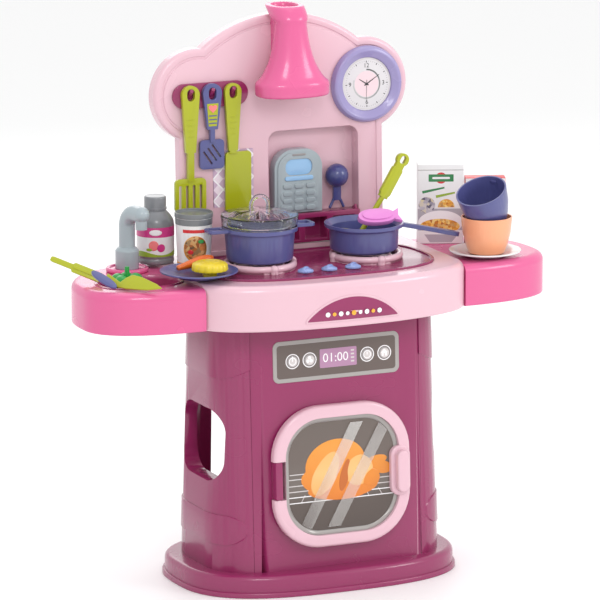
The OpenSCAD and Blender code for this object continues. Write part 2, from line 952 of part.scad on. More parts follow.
module pot_lid() {
    inner = pot_r - dish_wall - lid_gap;
    color("#e8eef4", 0.5) translate([pot_x, burner_y, rest_z + pot_h + lid_gap]) {
        rotate_extrude() polygon([
            [inner - 2, -4], [inner, -4], [inner, 0], [pot_r + rim_w, 0], [pot_r + rim_w + 1, 12],
            [pot_r + rim_w, 14], [pot_r - 4, 14], [30, 18], [0, 20], [0, 18], [29, 16], [pot_r - 5, 12],
            [pot_r + rim_w - 1.5, 12], [pot_r + rim_w - 2, 2], [inner - 2, 2]
        ]);
        translate([0, 0, 25]) rotate([90, 0, 0]) rotate_extrude(angle = 180)
            translate([11, 0]) circle(2.6);
        for (s = [-1, 1]) translate([11 * s, 0, 17]) cylinder(h = 8 + eps, r = 2.6);
    }
}

module pan() {
    h = pan_h;
    body_r = pan_r - 6;
    color(blue_violet) translate([pan_x, burner_y, rest_z]) {
        rotate_extrude() polygon([
            [0, 0], [body_r - 5, 0], [body_r - 1, 3], [body_r, h - 7], [pan_r, h - 4], [pan_r, h],
            [pan_r - 2, h], [body_r - 2, h - 6], [body_r - 3, 5], [body_r - 6, dish_wall], [0, dish_wall]
        ]);
        translate([pan_r - 3, 0, h - 4]) rotate([0, 13, -4]) {
            translate([0, -6, -4]) cube([60, 12, 5]);
            translate([60, 0, -4]) linear_extrude(5) difference() {
                translate([6, 0]) rounded(17, 8.5, 8);
                translate([12, 0]) rounded(5, 3, 2.9);
            }
        }
    }
}

module ladle() {
    color(lime) translate([pan_x, burner_y, rest_z + 4]) {
        translate([-15, 5, 17]) rotate([0, 12, 0]) difference() {
            sphere(14);
            sphere(12.2);
            translate([-20, -20, 3]) cube(40);
        }
        bar([-4, 4, 14], [26, 3, 58], 3.2);
        translate([26, 3, 58]) rotate([0, 31, 0]) translate([0, 3, 0]) upright(6) difference() {
            union() {
                translate([-5.5, 0]) square([11, 54]);
                translate([0, 52]) circle(8);
                translate([0, 22]) rounded(7, 20, 5);
            }
            translate([0, 52]) rounded(3.5, 5, 3.4);
        }
    }
}

// The fish lies on the pan's front rim and leans back
module toy_fish() {
    color("#d782c8") translate([pan_x + 5, burner_y - 31, rest_z + pan_h + 0.4]) rotate([38, 0, -4])
        translate([0, 11, 0]) {
            linear_extrude(7) squared_oval(24, 11, 2.2, 48);
            linear_extrude(9) squared_oval(19, 7.5, 2.2, 48);
            linear_extrude(5) polygon([[18, 4], [31, 11], [28, 0], [31, -9], [18, -4]]);
        }
}

module plate() {
    color(blue_violet) translate([plate_x, plate_y, rim_top]) rotate_extrude() polygon([
        [0, 0], [26, 0], [30, 2.5], [plate_r, 7], [plate_r, 8.6], [plate_r - 3, 8.6], [29, 4.2],
        [25, 2], [0, 2]
    ]);
}

module carrot() {
    color("#d76419") translate([plate_x - 6, plate_y + 12, rim_top + 13.7]) rotate([0, 84, 17])
        translate([0, 0, -28]) {
            cylinder(h = 48, r1 = 3.4, r2 = 6.6);
            translate([0, 0, 48]) sphere(6.6);
            sphere(3.4);
        }
}

module cake() {
    color("#ebd714") translate([plate_x + 8, plate_y - 14, rim_top + 9.7]) {
        linear_extrude(9) union() {
            circle(19);
            for (a = [0 : 24 : 336]) rotate(a) translate([19, 0]) circle(3.2);
        }
        translate([0, 0, 9]) cylinder(h = 3, r1 = 17, r2 = 14);
        translate([0, 0, -7]) cylinder(h = 7.1, r = 8.5);
    }
}

module bottle() {
    color("#8c8c90") translate([bottle_x, bottle_y, counter_top + 0.3]) rotate_extrude() polygon([
        [0, 0], [21, 0], [22.8, 2], [22.8, 50], [21, 56], [15, 62], [13.5, 64], [13.5, 80],
        [12.5, 82], [0, 82]
    ]);
}

module can() {
    color("#f0f0ea") translate([can_x, can_y, rim_top])
        cylinder(h = 60, r1 = 20, r2 = 22.6);
}

module can_lid() {
    color("#8c8f94") translate([can_x, can_y, rim_top + 60 + eps]) rotate_extrude() polygon([
        [0, 0], [23.4, 0], [23.4, 6], [21.5, 6], [21.5, 3], [0, 3]
    ]);
}

// ---- food boxes and cups ----
module food_box(x, y, half_w, half_d, h) {
    translate([x, y, wing_top + 0.3]) rotate([0, 0, face_turn])
        translate([-half_w, -half_d, 0]) cube([2 * half_w, 2 * half_d, h]);
}

module cereal_box() { color("#f2f0ec") food_box(206, 48, 28.5, 12, box_h); }
module red_box() { color("#d21e28") food_box(256, 24, 25, 10, box_h - 17); }

module saucer() {
    color("white") translate([cup_x - 2, cup_y, wing_top + 0.3]) rotate_extrude() polygon([
        [0, 0], [24, 0], [28, 2], [44.4, 6.4], [44.4, 8], [42, 8], [28, 4], [24, 2.5], [0, 2.5]
    ]);
}

module cup_wall() {
    rotate_extrude() polygon([
        [0, 0], [19, 0], [22, 1.5], [26, 12], [29.5, 26], [cup_r, cup_h], [cup_r - dish_wall, cup_h],
        [27.5, 26], [24, 12], [20.5, 4], [18, dish_wall], [0, dish_wall]
    ]);
}

module cup_handle(turn) {
    rotate([0, 0, turn]) translate([28, 0, 26]) rotate([90, 0, 0]) translate([0, 0, -4]) linear_extrude(8)
        difference() {
            translate([1, 0]) rounded(14, 14.5, 13);
            translate([1, 0]) rounded(10.5, 11, 10);
            translate([-28, -20]) square([27.5, 40]);
        }
}

module peach_cup() {
    color("#fab98c") translate([cup_x, cup_y, cup_foot]) cup_wall();
}

module blue_cup() {
    color(blue_violet) translate([cup_x, cup_y, cup_foot + cup_h - 7.5])
        rotate([0, 0, 31]) translate([7.5, 0, 0]) rotate([0, -27, 0]) {
            cup_wall();
            cup_handle(0);
        }
}

// ---- sink pieces ----
module pepper() {
    color("#0f963c") translate([-240, -13, wing_top - 6.5]) {
        translate([0, 0, -7]) sphere(16);
        for (a = [0 : 72 : 288]) rotate([0, 0, a]) translate([11, 0, 7]) sphere(9.5);
        translate([0, 0, 7]) cylinder(h = 18, r1 = 4, r2 = 2.6);
    }
}

// The fork and the knife lean on the sink's rim, so their faces look up and forwards
module sink_fork() {
    color(lime) translate([-277, -5, wing_top + 8]) rotate([50, 19, -38]) {
        linear_extrude(2.5) polygon([[-59, -2.5], [-56, -3.6], [-31, -3.6], [-29, -6.5], [6, -6.5],
                                     [8, -4], [8, 4], [6, 6.5], [-29, 6.5], [-31, 3.6], [-56, 3.6], [-59, 2.5]]);
        translate([0, 0, 1]) linear_extrude(3) translate([-13, 0]) rounded(16, 2, 1.9);
    }
}

module sink_knife() {
    color(lime) translate([-262, -60, wing_top + 3.5]) rotate([50, 4, -55])
        linear_extrude(3) polygon([[-30, 8], [-9, -2], [3, -2], [30, 2], [49, 8], [40, 12], [17, 17],
                                   [4, 17.5], [-3, 12], [-8, 5], [-29, 13]]);
}

module sink_spoon() {
    color(blue_violet) translate([-284, -48, wing_top + 11.8]) rotate([30, 25, -55])
        linear_extrude(3.5) squared_oval(19, 5.5, 2.2, 48);
}

base_plinth();
left_column();
right_column();
front_panel();
hinge_block();
hinge_pin();
oven_door();
oven_window();
oven_handle();
control_panel();
counter_centre();
badge();
left_wing();
right_wing();
sink_basin();
hob_plate();
left_burner();
right_burner();
left_burner_dish();
right_burner_dish();
left_knob();
middle_knob();
right_knob();
faucet_ring();
faucet();
backsplash();
shelf_riser();
hood();
clock_ring();
clock_dial();
utensil_rail();
tile_sticker();
handset();
handset_screen();
measuring_scoop();
fork_spatula();
small_spatula();
cleaver();
pot();
pot_lid();
pan();
ladle();
toy_fish();
plate();
carrot();
cake();
bottle();
can();
can_lid();
cereal_box();
red_box();
saucer();
peach_cup();
blue_cup();
pepper();
sink_fork();
sink_knife();
sink_spoon();
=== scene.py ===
import json
from math import atan, atan2, cos, hypot, pi, radians, sin, sqrt

import bpy
from mathutils import Matrix, Vector

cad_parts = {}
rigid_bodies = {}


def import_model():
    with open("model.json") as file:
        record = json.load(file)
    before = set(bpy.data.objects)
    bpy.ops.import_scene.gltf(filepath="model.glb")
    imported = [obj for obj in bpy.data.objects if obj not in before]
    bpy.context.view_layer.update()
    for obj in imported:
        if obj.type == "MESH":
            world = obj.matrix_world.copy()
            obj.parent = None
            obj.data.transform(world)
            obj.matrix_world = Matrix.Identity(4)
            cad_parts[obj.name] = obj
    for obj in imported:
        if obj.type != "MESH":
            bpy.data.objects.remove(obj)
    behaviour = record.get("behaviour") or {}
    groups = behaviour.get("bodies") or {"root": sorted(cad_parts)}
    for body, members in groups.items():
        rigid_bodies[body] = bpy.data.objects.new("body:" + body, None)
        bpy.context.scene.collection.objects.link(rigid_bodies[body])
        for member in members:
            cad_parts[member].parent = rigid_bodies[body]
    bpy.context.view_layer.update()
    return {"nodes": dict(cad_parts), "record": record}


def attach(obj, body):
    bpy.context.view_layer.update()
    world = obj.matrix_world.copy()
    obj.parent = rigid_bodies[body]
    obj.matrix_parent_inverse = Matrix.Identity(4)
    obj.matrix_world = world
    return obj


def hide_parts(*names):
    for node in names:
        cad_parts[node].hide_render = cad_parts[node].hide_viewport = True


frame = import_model()
record = frame["record"]
nodeBody = {node: body for body, nodes in record["behaviour"]["bodies"].items() for node in nodes}
mm = 0.001
print("frame loaded:", len(frame["nodes"]), "nodes")

# ---- camera, light and floor ----
camera = {"aim": (0, 0, 0.345), "azimuth": -24.534, "elevation": 11.932, "distance": 6.2776,
          "lens": 308.84, "shiftX": -0.0082, "shiftY": -0.01475}
aim = Vector(camera["aim"])
azimuth = radians(camera["azimuth"])
elevation = radians(camera["elevation"])
eye = aim + camera["distance"] * Vector((sin(azimuth) * cos(elevation), -cos(azimuth) * cos(elevation),
                                         sin(elevation)))
bpy.ops.object.select_all(action="DESELECT")
bpy.ops.object.camera_add(location=eye, rotation=(aim - eye).to_track_quat("-Z", "Y").to_euler())
studioCamera = bpy.context.object
studioCamera.data.sensor_width = 36
studioCamera.data.lens = camera["lens"]
studioCamera.data.shift_x = camera["shiftX"]
studioCamera.data.shift_y = camera["shiftY"]
studioCamera.data.clip_end = 50
bpy.context.scene.camera = studioCamera
bpy.context.scene.view_settings.view_transform = "Standard"

lights = [  # place, size, watts
    {"place": (-0.7, -2.3, 2.0), "size": 0.8, "power": 16},
    {"place": (1.9, -1.8, 1.5), "size": 0.9, "power": 16},
    {"place": (0.2, 0.3, 2.6), "size": 1.8, "power": 8},
    {"place": (0.6, 2.2, 1.6), "size": 1.6, "power": 10},
]
for light in lights:
    place = Vector(light["place"])
    turn = (Vector((0, 0, 0.35)) - place).to_track_quat("-Z", "Y").to_euler()
    bpy.ops.object.light_add(type="AREA", location=place, rotation=turn)
    bpy.context.object.data.size = light["size"]
    bpy.context.object.data.energy = light["power"]

world = bpy.data.worlds.new("studio")
world.use_nodes = True
world.node_tree.nodes["Background"].inputs["Color"].default_value = (1, 1, 1, 1)
world.node_tree.nodes["Background"].inputs["Strength"].default_value = 1.0
bpy.context.scene.world = world

bpy.ops.mesh.primitive_plane_add(size=30, location=(0, 0, -0.0004))
floor = bpy.context.object
floor.name = "studioFloor"
print("camera and light set")


# ---- materials ----
def newGroup(name, inputs, outputs):
    group = bpy.data.node_groups.new(name, "ShaderNodeTree")
    for label, kind, value in inputs:
        socket = group.interface.new_socket(name=label, in_out="INPUT", socket_type=kind)
        socket.default_value = value
    for label, kind in outputs:
        group.interface.new_socket(name=label, in_out="OUTPUT", socket_type=kind)
    return group, group.nodes.new("NodeGroupInput"), group.nodes.new("NodeGroupOutput")


def addNode(tree, kind, values=None, **settings):
    node = tree.nodes.new(kind)
    for key, value in settings.items():
        setattr(node, key, value)
    for key, value in (values or {}).items():
        node.inputs[key].default_value = value
    return node


def makeSkinGroup():  # slight mottle, uneven gloss and a fine moulded grain
    group, given, out = newGroup(
        "mouldedSkin",
        [("Tint", "NodeSocketColor", (1, 1, 1, 1)), ("Mottle", "NodeSocketFloat", 0.05),
         ("Gloss", "NodeSocketFloat", 0.25), ("Grain", "NodeSocketFloat", 900.0)],
        [("Color", "NodeSocketColor"), ("Roughness", "NodeSocketFloat"), ("Height", "NodeSocketFloat")])
    link = group.links.new
    where = addNode(group, "ShaderNodeTexCoord")
    broad = addNode(group, "ShaderNodeTexNoise", {"Scale": 14.0, "Detail": 3.0})
    fine = addNode(group, "ShaderNodeTexNoise", {"Detail": 2.0})
    link(where.outputs["Object"], broad.inputs["Vector"])
    link(where.outputs["Object"], fine.inputs["Vector"])
    link(given.outputs["Grain"], fine.inputs["Scale"])
    centred = addNode(group, "ShaderNodeMath", {1: 0.5}, operation="SUBTRACT")
    link(broad.outputs[0], centred.inputs[0])
    swing = addNode(group, "ShaderNodeMath", operation="MULTIPLY")
    link(centred.outputs[0], swing.inputs[0])
    link(given.outputs["Mottle"], swing.inputs[1])
    level = addNode(group, "ShaderNodeMath", {1: 1.0}, operation="ADD")
    link(swing.outputs[0], level.inputs[0])
    shade = addNode(group, "ShaderNodeVectorMath", operation="MULTIPLY")
    link(given.outputs["Tint"], shade.inputs[0])
    link(level.outputs[0], shade.inputs[1])
    link(shade.outputs[0], out.inputs["Color"])
    uneven = addNode(group, "ShaderNodeMath", {1: 0.1, 2: 0.0}, operation="MULTIPLY_ADD")
    link(centred.outputs[0], uneven.inputs[0])
    link(given.outputs["Gloss"], uneven.inputs[2])
    link(uneven.outputs[0], out.inputs["Roughness"])
    link(fine.outputs[0], out.inputs["Height"])
    return group


skinGroup = makeSkinGroup()


def startMaterial(name, values):
    material = bpy.data.materials.new(name)
    material.use_nodes = True
    shader = material.node_tree.nodes["Principled BSDF"]
    for key, value in values.items():
        shader.inputs[key].default_value = value
    return material, material.node_tree, shader


def addSkin(tree, shader, tint, mottle, gloss, grain, bump):
    skin = addNode(tree, "ShaderNodeGroup", node_tree=skinGroup)
    skin.inputs["Mottle"].default_value = mottle
    skin.inputs["Gloss"].default_value = gloss
    skin.inputs["Grain"].default_value = grain
    if isinstance(tint, tuple):
        skin.inputs["Tint"].default_value = (*tint, 1)
    else:
        tree.links.new(tint, skin.inputs["Tint"])
    height = addNode(tree, "ShaderNodeBump", {"Strength": bump, "Distance": 0.0002})
    tree.links.new(skin.outputs["Color"], shader.inputs["Base Color"])
    tree.links.new(skin.outputs["Roughness"], shader.inputs["Roughness"])
    tree.links.new(skin.outputs["Height"], height.inputs["Height"])
    tree.links.new(height.outputs["Normal"], shader.inputs["Normal"])


def plastic(name, tint, gloss=0.26, coat=0.35, mottle=0.06, grain=900.0, bump=0.12, **more):
    values = {"Coat Weight": coat, "Coat Roughness": 0.08}
    values.update(more.get("values", {}))
    material, tree, shader = startMaterial(name, values)
    addSkin(tree, shader, tint, mottle, gloss, grain, bump)
    return material


raspberry = plastic("raspberryPlastic", (0.268, 0.02, 0.1))
lightPink = plastic("lightPinkPlastic", (0.71, 0.455, 0.525))
hotPink = plastic("hotPinkPlastic", (0.68, 0.103, 0.275))
# painted shade: a darker copy of the hot pink plastic, for the sunken sink basin where shade falls
shadedHotPink = plastic("shadedHotPinkPlastic", (0.48, 0.06, 0.185))
blueViolet = plastic("blueVioletPlastic", (0.08, 0.085, 0.245), gloss=0.3)
darkBlue = plastic("darkBluePlastic", (0.055, 0.062, 0.21), gloss=0.3)
lime = plastic("limePlastic", (0.385, 0.415, 0.003), gloss=0.3)
lavender = plastic("lavenderPlastic", (0.3, 0.262, 0.49))
knobBlue = plastic("knobBluePlastic", (0.27, 0.35, 0.66))
greyBlue = plastic("greyPlastic", (0.34, 0.40, 0.43), gloss=0.3)
lilac = plastic("lilacPlastic", (0.66, 0.21, 0.56), gloss=0.32)
carrotOrange = plastic("carrotPlastic", (0.66, 0.12, 0.008), gloss=0.3, mottle=0.3)
cakeYellow = plastic("cakePlastic", (0.7, 0.53, 0.004), gloss=0.3)
pepperGreen = plastic("pepperPlastic", (0.006, 0.30, 0.04), gloss=0.28)
peach = plastic("peachPlastic", (0.86, 0.37, 0.195), gloss=0.3)
white = plastic("whitePlastic", (0.72, 0.71, 0.72), gloss=0.25)
bottleGrey = plastic("bottlePlastic", (0.2, 0.207, 0.222), gloss=0.3)
lidGrey = plastic("canLidPlastic", (0.17, 0.18, 0.19), gloss=0.3)
coral = plastic("coralPlastic", (0.86, 0.20, 0.20))
steel = plastic("pinSteel", (0.55, 0.55, 0.56), gloss=0.3, coat=0.0, grain=2500.0, values={"Metallic": 1.0})
silver = plastic("silverPlating", (0.80, 0.79, 0.80), gloss=0.16, coat=0.0, values={"Metallic": 0.9})
silverPrint = plastic("silverPrint", (0.36, 0.34, 0.325), gloss=0.3, values={"Metallic": 0.35})
whitePrint = plastic("whitePrint", (0.86, 0.85, 0.86), gloss=0.4, coat=0.1)
palePrint = plastic("palePrint", (0.62, 0.58, 0.57), gloss=0.4, coat=0.1)
inkBlack = plastic("inkPrint", (0.02, 0.02, 0.022), gloss=0.45, coat=0.1)
greyPrint = plastic("greyPrint", (0.30, 0.28, 0.28), gloss=0.4, coat=0.1)
taupePrint = plastic("taupePrint", (0.112, 0.083, 0.072), gloss=0.3)
mauvePrint = plastic("mauvePrint", (0.42, 0.22, 0.36), gloss=0.3)
dialPrint = plastic("dialPrint", (0.67, 0.65, 0.665), gloss=0.35, coat=0.2)
dialPink = plastic("dialPinkPrint", (0.80, 0.62, 0.66), gloss=0.35, coat=0.2)
screenBlue = plastic("screenPrint", (0.30, 0.52, 0.78), gloss=0.2)
goldPrint = plastic("goldPrint", (0.85, 0.40, 0.03), gloss=0.35)
magentaPrint = plastic("magentaPrint", (0.60, 0.03, 0.22), gloss=0.35)
redPrint = plastic("redPrint", (0.62, 0.012, 0.018), gloss=0.4, coat=0.2)
greenPrint = plastic("greenPrint", (0.03, 0.22, 0.07), gloss=0.4, coat=0.2)
leafPrint = plastic("leafPrint", (0.28, 0.42, 0.03), gloss=0.4, coat=0.2)
cardWhite = plastic("cardPrint", (0.80, 0.80, 0.80), gloss=0.42, coat=0.15, grain=1800.0)
cardGrey = plastic("cardGreyPrint", (0.42, 0.40, 0.44), gloss=0.42, coat=0.15, grain=1800.0)


def clearPlastic():
    values = {"Base Color": (0.93, 0.95, 0.98, 1), "Transmission Weight": 1.0, "IOR": 1.46,
              "Coat Weight": 0.2}
    material, tree, shader = startMaterial("clearPlastic", values)
    where = addNode(tree, "ShaderNodeTexCoord")
    smear = addNode(tree, "ShaderNodeTexNoise", {"Scale": 30.0, "Detail": 2.0})
    rough = addNode(tree, "ShaderNodeMapRange", {"To Min": 0.02, "To Max": 0.07})
    tree.links.new(where.outputs["Object"], smear.inputs["Vector"])
    tree.links.new(smear.outputs[0], rough.inputs["Value"])
    tree.links.new(rough.outputs[0], shader.inputs["Roughness"])
    return material


def paintedGlare():  # painted reflection: pale glare streaks across the window, fainter towards the bottom
    material, tree, shader = startMaterial("paintedGlare", {"Base Color": (0.85, 0.83, 0.80, 1)})
    where = addNode(tree, "ShaderNodeTexCoord")
    split = addNode(tree, "ShaderNodeSeparateXYZ")
    fade = addNode(tree, "ShaderNodeMapRange", {"From Min": 0.06, "From Max": 0.22, "To Min": 0.12,
                                                "To Max": 0.3})
    cloud = addNode(tree, "ShaderNodeTexNoise", {"Scale": 40.0})
    tree.links.new(where.outputs["Object"], cloud.inputs["Vector"])
    gloss = addNode(tree, "ShaderNodeMapRange", {"To Min": 0.25, "To Max": 0.4})
    tree.links.new(cloud.outputs[0], gloss.inputs["Value"])
    tree.links.new(gloss.outputs[0], shader.inputs["Roughness"])
    tree.links.new(where.outputs["Object"], split.inputs[0])
    tree.links.new(split.outputs["Z"], fade.inputs["Value"])
    tree.links.new(fade.outputs[0], shader.inputs["Alpha"])
    return material


def rampMaterial(name, axis, low, high, stops, gloss=0.3, coat=0.3, mottle=0.05):
    material, tree, shader = startMaterial(name, {"Coat Weight": coat, "Coat Roughness": 0.08})
    where = addNode(tree, "ShaderNodeTexCoord")
    split = addNode(tree, "ShaderNodeSeparateXYZ")
    spread = addNode(tree, "ShaderNodeMapRange", {"From Min": low, "From Max": high})
    ramp = addNode(tree, "ShaderNodeValToRGB")
    tree.links.new(where.outputs["Object"], split.inputs[0])
    tree.links.new(split.outputs[axis], spread.inputs["Value"])
    tree.links.new(spread.outputs[0], ramp.inputs["Fac"])
    while len(ramp.color_ramp.elements) < len(stops):
        ramp.color_ramp.elements.new(0.5)
    for element, (position, tint) in zip(ramp.color_ramp.elements, stops):
        element.position = position
        element.color = (*tint, 1)
    addSkin(tree, shader, ramp.outputs["Color"], mottle, gloss, 900.0, 0.1)
    return material


def tileMaterial(origin, size):  # diamonds between white lines
    material, tree, shader = startMaterial("tilePrint", {"Coat Weight": 0.3})
    where = addNode(tree, "ShaderNodeTexCoord")
    turned = addNode(tree, "ShaderNodeMapping", vector_type="POINT")
    turned.inputs["Location"].default_value = (-origin[0], -origin[1], -origin[2])
    tree.links.new(where.outputs["Object"], turned.inputs["Vector"])
    split = addNode(tree, "ShaderNodeSeparateXYZ")
    tree.links.new(turned.outputs[0], split.inputs[0])
    waves = []
    for kind in ("ADD", "SUBTRACT"):
        mix = addNode(tree, "ShaderNodeMath", operation=kind)
        tree.links.new(split.outputs["X"], mix.inputs[0])
        tree.links.new(split.outputs["Z"], mix.inputs[1])
        scaled = addNode(tree, "ShaderNodeMath", {1: 1 / size}, operation="MULTIPLY")
        tree.links.new(mix.outputs[0], scaled.inputs[0])
        near = addNode(tree, "ShaderNodeMath", {1: 1.0}, operation="PINGPONG")
        tree.links.new(scaled.outputs[0], near.inputs[0])
        waves.append((scaled, near))
    low = addNode(tree, "ShaderNodeMath", operation="MINIMUM")
    tree.links.new(waves[0][1].outputs[0], low.inputs[0])
    tree.links.new(waves[1][1].outputs[0], low.inputs[1])
    line = addNode(tree, "ShaderNodeMath", {1: 0.09}, operation="LESS_THAN")
    tree.links.new(low.outputs[0], line.inputs[0])
    cells = []
    for scaled, near in waves:
        cell = addNode(tree, "ShaderNodeMath", operation="FLOOR")
        tree.links.new(scaled.outputs[0], cell.inputs[0])
        cells.append(cell)
    total = addNode(tree, "ShaderNodeMath", operation="ADD")
    tree.links.new(cells[0].outputs[0], total.inputs[0])
    tree.links.new(cells[1].outputs[0], total.inputs[1])
    odd = addNode(tree, "ShaderNodeMath", {1: 2.0}, operation="FLOORED_MODULO")
    tree.links.new(total.outputs[0], odd.inputs[0])
    tint = addNode(tree, "ShaderNodeMix", data_type="RGBA")
    tint.inputs["A"].default_value = (0.78, 0.66, 0.74, 1)
    tint.inputs["B"].default_value = (0.55, 0.38, 0.52, 1)
    tree.links.new(odd.outputs[0], tint.inputs["Factor"])
    lined = addNode(tree, "ShaderNodeMix", data_type="RGBA")
    lined.inputs["B"].default_value = (0.88, 0.84, 0.87, 1)
    tree.links.new(tint.outputs["Result"], lined.inputs["A"])
    tree.links.new(line.outputs[0], lined.inputs["Factor"])
    addSkin(tree, shader, lined.outputs["Result"], 0.03, 0.3, 900.0, 0.05)
    return material


def foodPrint(name, scale, tints):  # a printed heap of food: cells in warm colours
    material, tree, shader = startMaterial(name, {"Coat Weight": 0.2})
    where = addNode(tree, "ShaderNodeTexCoord")
    cells = addNode(tree, "ShaderNodeTexVoronoi", {"Scale": scale, "Randomness": 1.0})
    tree.links.new(where.outputs["Object"], cells.inputs["Vector"])
    ramp = addNode(tree, "ShaderNodeValToRGB")
    while len(ramp.color_ramp.elements) < len(tints):
        ramp.color_ramp.elements.new(0.5)
    for i, (element, tint) in enumerate(zip(ramp.color_ramp.elements, tints)):
        element.position = i / (len(tints) - 1)
        element.color = (*tint, 1)
    split = addNode(tree, "ShaderNodeSeparateXYZ")
    tree.links.new(cells.outputs["Color"], split.inputs[0])
    tree.links.new(split.outputs["X"], ramp.inputs["Fac"])
    addSkin(tree, shader, ramp.outputs["Color"], 0.2, 0.4, 900.0, 0.05)
    return material


clear = clearPlastic()
glare = paintedGlare()
windowDark = rampMaterial("windowPrint", "Z", 0.055, 0.225,
                          [(0.0, (0.065, 0.046, 0.038)), (0.30, (0.085, 0.062, 0.052)),
                           (0.42, (0.15, 0.125, 0.11)), (0.62, (0.13, 0.10, 0.086)),
                           (1.0, (0.12, 0.094, 0.08))], gloss=0.22)
roast = rampMaterial("roastPrint", "Z", 0.095, 0.175,
                     [(0.0, (0.62, 0.15, 0.008)), (0.5, (0.72, 0.23, 0.018)), (1.0, (0.76, 0.30, 0.04))],
                     gloss=0.3, mottle=0.25)
roastPale = rampMaterial("roastShinePrint", "Z", 0.095, 0.175,
                         [(0.0, (0.74, 0.31, 0.06)), (0.6, (0.80, 0.47, 0.17)), (1.0, (0.80, 0.42, 0.13))],
                         gloss=0.3, mottle=0.2)
roastDark = plastic("roastShadePrint", (0.50, 0.12, 0.01), gloss=0.3)
flakes = foodPrint("flakePrint", 330.0, [(0.55, 0.17, 0.01), (0.83, 0.42, 0.05), (0.88, 0.68, 0.22),
                                         (0.40, 0.10, 0.01)])
noodles = foodPrint("noodlePrint", 240.0, [(0.28, 0.07, 0.02), (0.58, 0.20, 0.04), (0.70, 0.44, 0.18),
                                           (0.10, 0.04, 0.02)])
berries = foodPrint("berryPrint", 260.0, [(0.06, 0.06, 0.10), (0.28, 0.26, 0.33), (0.60, 0.58, 0.62),
                                          (0.70, 0.62, 0.33)])
ground = plastic("studioGround", (0.93, 0.93, 0.93), gloss=0.6, coat=0.0, mottle=0.0, bump=0.0)
floor.data.materials.append(ground)
print("materials made")


# ---- working helpers ----
def activate(piece):
    if bpy.context.object and bpy.context.object.mode != "OBJECT":
        bpy.ops.object.mode_set(mode="OBJECT")
    bpy.ops.object.select_all(action="DESELECT")
    piece.select_set(True)
    bpy.context.view_layer.objects.active = piece


def smooth(piece, angle=38):
    activate(piece)
    bpy.ops.object.shade_smooth_by_angle(angle=radians(angle))


def pick(piece, kind, test):  # selects vertices, edges or faces for the next edit-mode operator
    activate(piece)
    bpy.ops.object.mode_set(mode="EDIT")
    bpy.ops.mesh.select_mode(type=kind)
    bpy.ops.mesh.select_all(action="DESELECT")
    bpy.ops.object.mode_set(mode="OBJECT")
    mesh = piece.data
    items = {"VERT": mesh.vertices, "EDGE": mesh.edges, "FACE": mesh.polygons}[kind]
    for item in items:
        item.select = test(item)
    bpy.ops.object.mode_set(mode="EDIT")


def leaveEdit():
    bpy.ops.object.mode_set(mode="OBJECT")


def settle(piece, node, material, replace=True):
    piece.data.materials.clear()
    piece.data.materials.append(material)
    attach(piece, nodeBody[node])
    if replace:
        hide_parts(node)
    return piece


def applyModifier(piece, kind, **values):
    activate(piece)
    modifier = piece.modifiers.new("work", kind)
    for key, value in values.items():
        setattr(modifier, key, value)
    bpy.ops.object.modifier_apply(modifier=modifier.name)


def cleanMesh(piece, angle=0.6):
    activate(piece)
    bpy.ops.object.mode_set(mode="EDIT")
    bpy.ops.mesh.select_all(action="SELECT")
    bpy.ops.mesh.remove_doubles(threshold=0.00002)
    bpy.ops.mesh.dissolve_limited(angle_limit=radians(angle))
    leaveEdit()


def softCopy(node, material, edge, name=None, angle=32, segments=3):
    activate(frame["nodes"][node])
    bpy.ops.object.duplicate()
    piece = bpy.context.object
    for key in list(piece.keys()):
        del piece[key]
    piece.parent = None
    piece.name = name or node + "Shell"
    cleanMesh(piece)
    if edge:
        applyModifier(piece, "BEVEL", width=edge * mm, segments=segments, limit_method="ANGLE",
                      angle_limit=radians(angle), use_clamp_overlap=True)
    smooth(piece)
    return settle(piece, node, material)


def squaredOval(a, b, power, steps, middle=(0, 0), start=0.0, end=360.0):
    points = []
    for i in range(steps):
        t = radians(start + (end - start) * i / steps)
        x = abs(cos(t)) ** (2 / power) * (1 if cos(t) >= 0 else -1)
        y = abs(sin(t)) ** (2 / power) * (1 if sin(t) >= 0 else -1)
        points.append((middle[0] + a * x, middle[1] + b * y))
    return points


def arc(middle, radius, start, end, steps):
    points = []
    for i in range(steps + 1):
        t = radians(start + (end - start) * i / steps)
        points.append((middle[0] + radius * cos(t), middle[1] + radius * sin(t)))
    return points


def roundedRect(halfX, halfY, radius, middle=(0, 0), steps=8):
    points = []
    for sx, sy, start in ((1, 1, 0), (-1, 1, 90), (-1, -1, 180), (1, -1, 270)):
        centre = (middle[0] + sx * (halfX - radius), middle[1] + sy * (halfY - radius))
        points += arc(centre, radius, start, start + 90, steps)
    return points


def facing(origin, lean=0.0, turn=0.0):  # local Z looks to the front, local Y up the face
    return (Matrix.Translation(Vector(origin) * mm) @ Matrix.Rotation(radians(turn), 4, "Z")
            @ Matrix.Rotation(radians(90 - lean), 4, "X"))


def slab(name, outline, low, high, place=None, frontRound=0.0, backRound=0.0, segments=4):
    bpy.ops.object.select_all(action="DESELECT")
    bpy.ops.mesh.primitive_circle_add(vertices=len(outline), radius=1, fill_type="NGON")
    piece = bpy.context.object
    piece.name = name
    for vertex, point in zip(piece.data.vertices, outline):
        vertex.co = (point[0] * mm, point[1] * mm, low * mm)
    bpy.ops.object.mode_set(mode="EDIT")
    bpy.ops.mesh.select_all(action="SELECT")
    bpy.ops.mesh.remove_doubles(threshold=0.000005)
    bpy.ops.mesh.extrude_region_move(TRANSFORM_OT_translate={"value": (0, 0, (high - low) * mm)})
    bpy.ops.mesh.select_all(action="SELECT")
    bpy.ops.mesh.normals_make_consistent(inside=False)
    leaveEdit()
    for level, size in ((high, frontRound), (low, backRound)):
        if size:
            bevelLevel(piece, level, size, segments)
    if place:
        piece.data.transform(place)
    smooth(piece)
    return piece


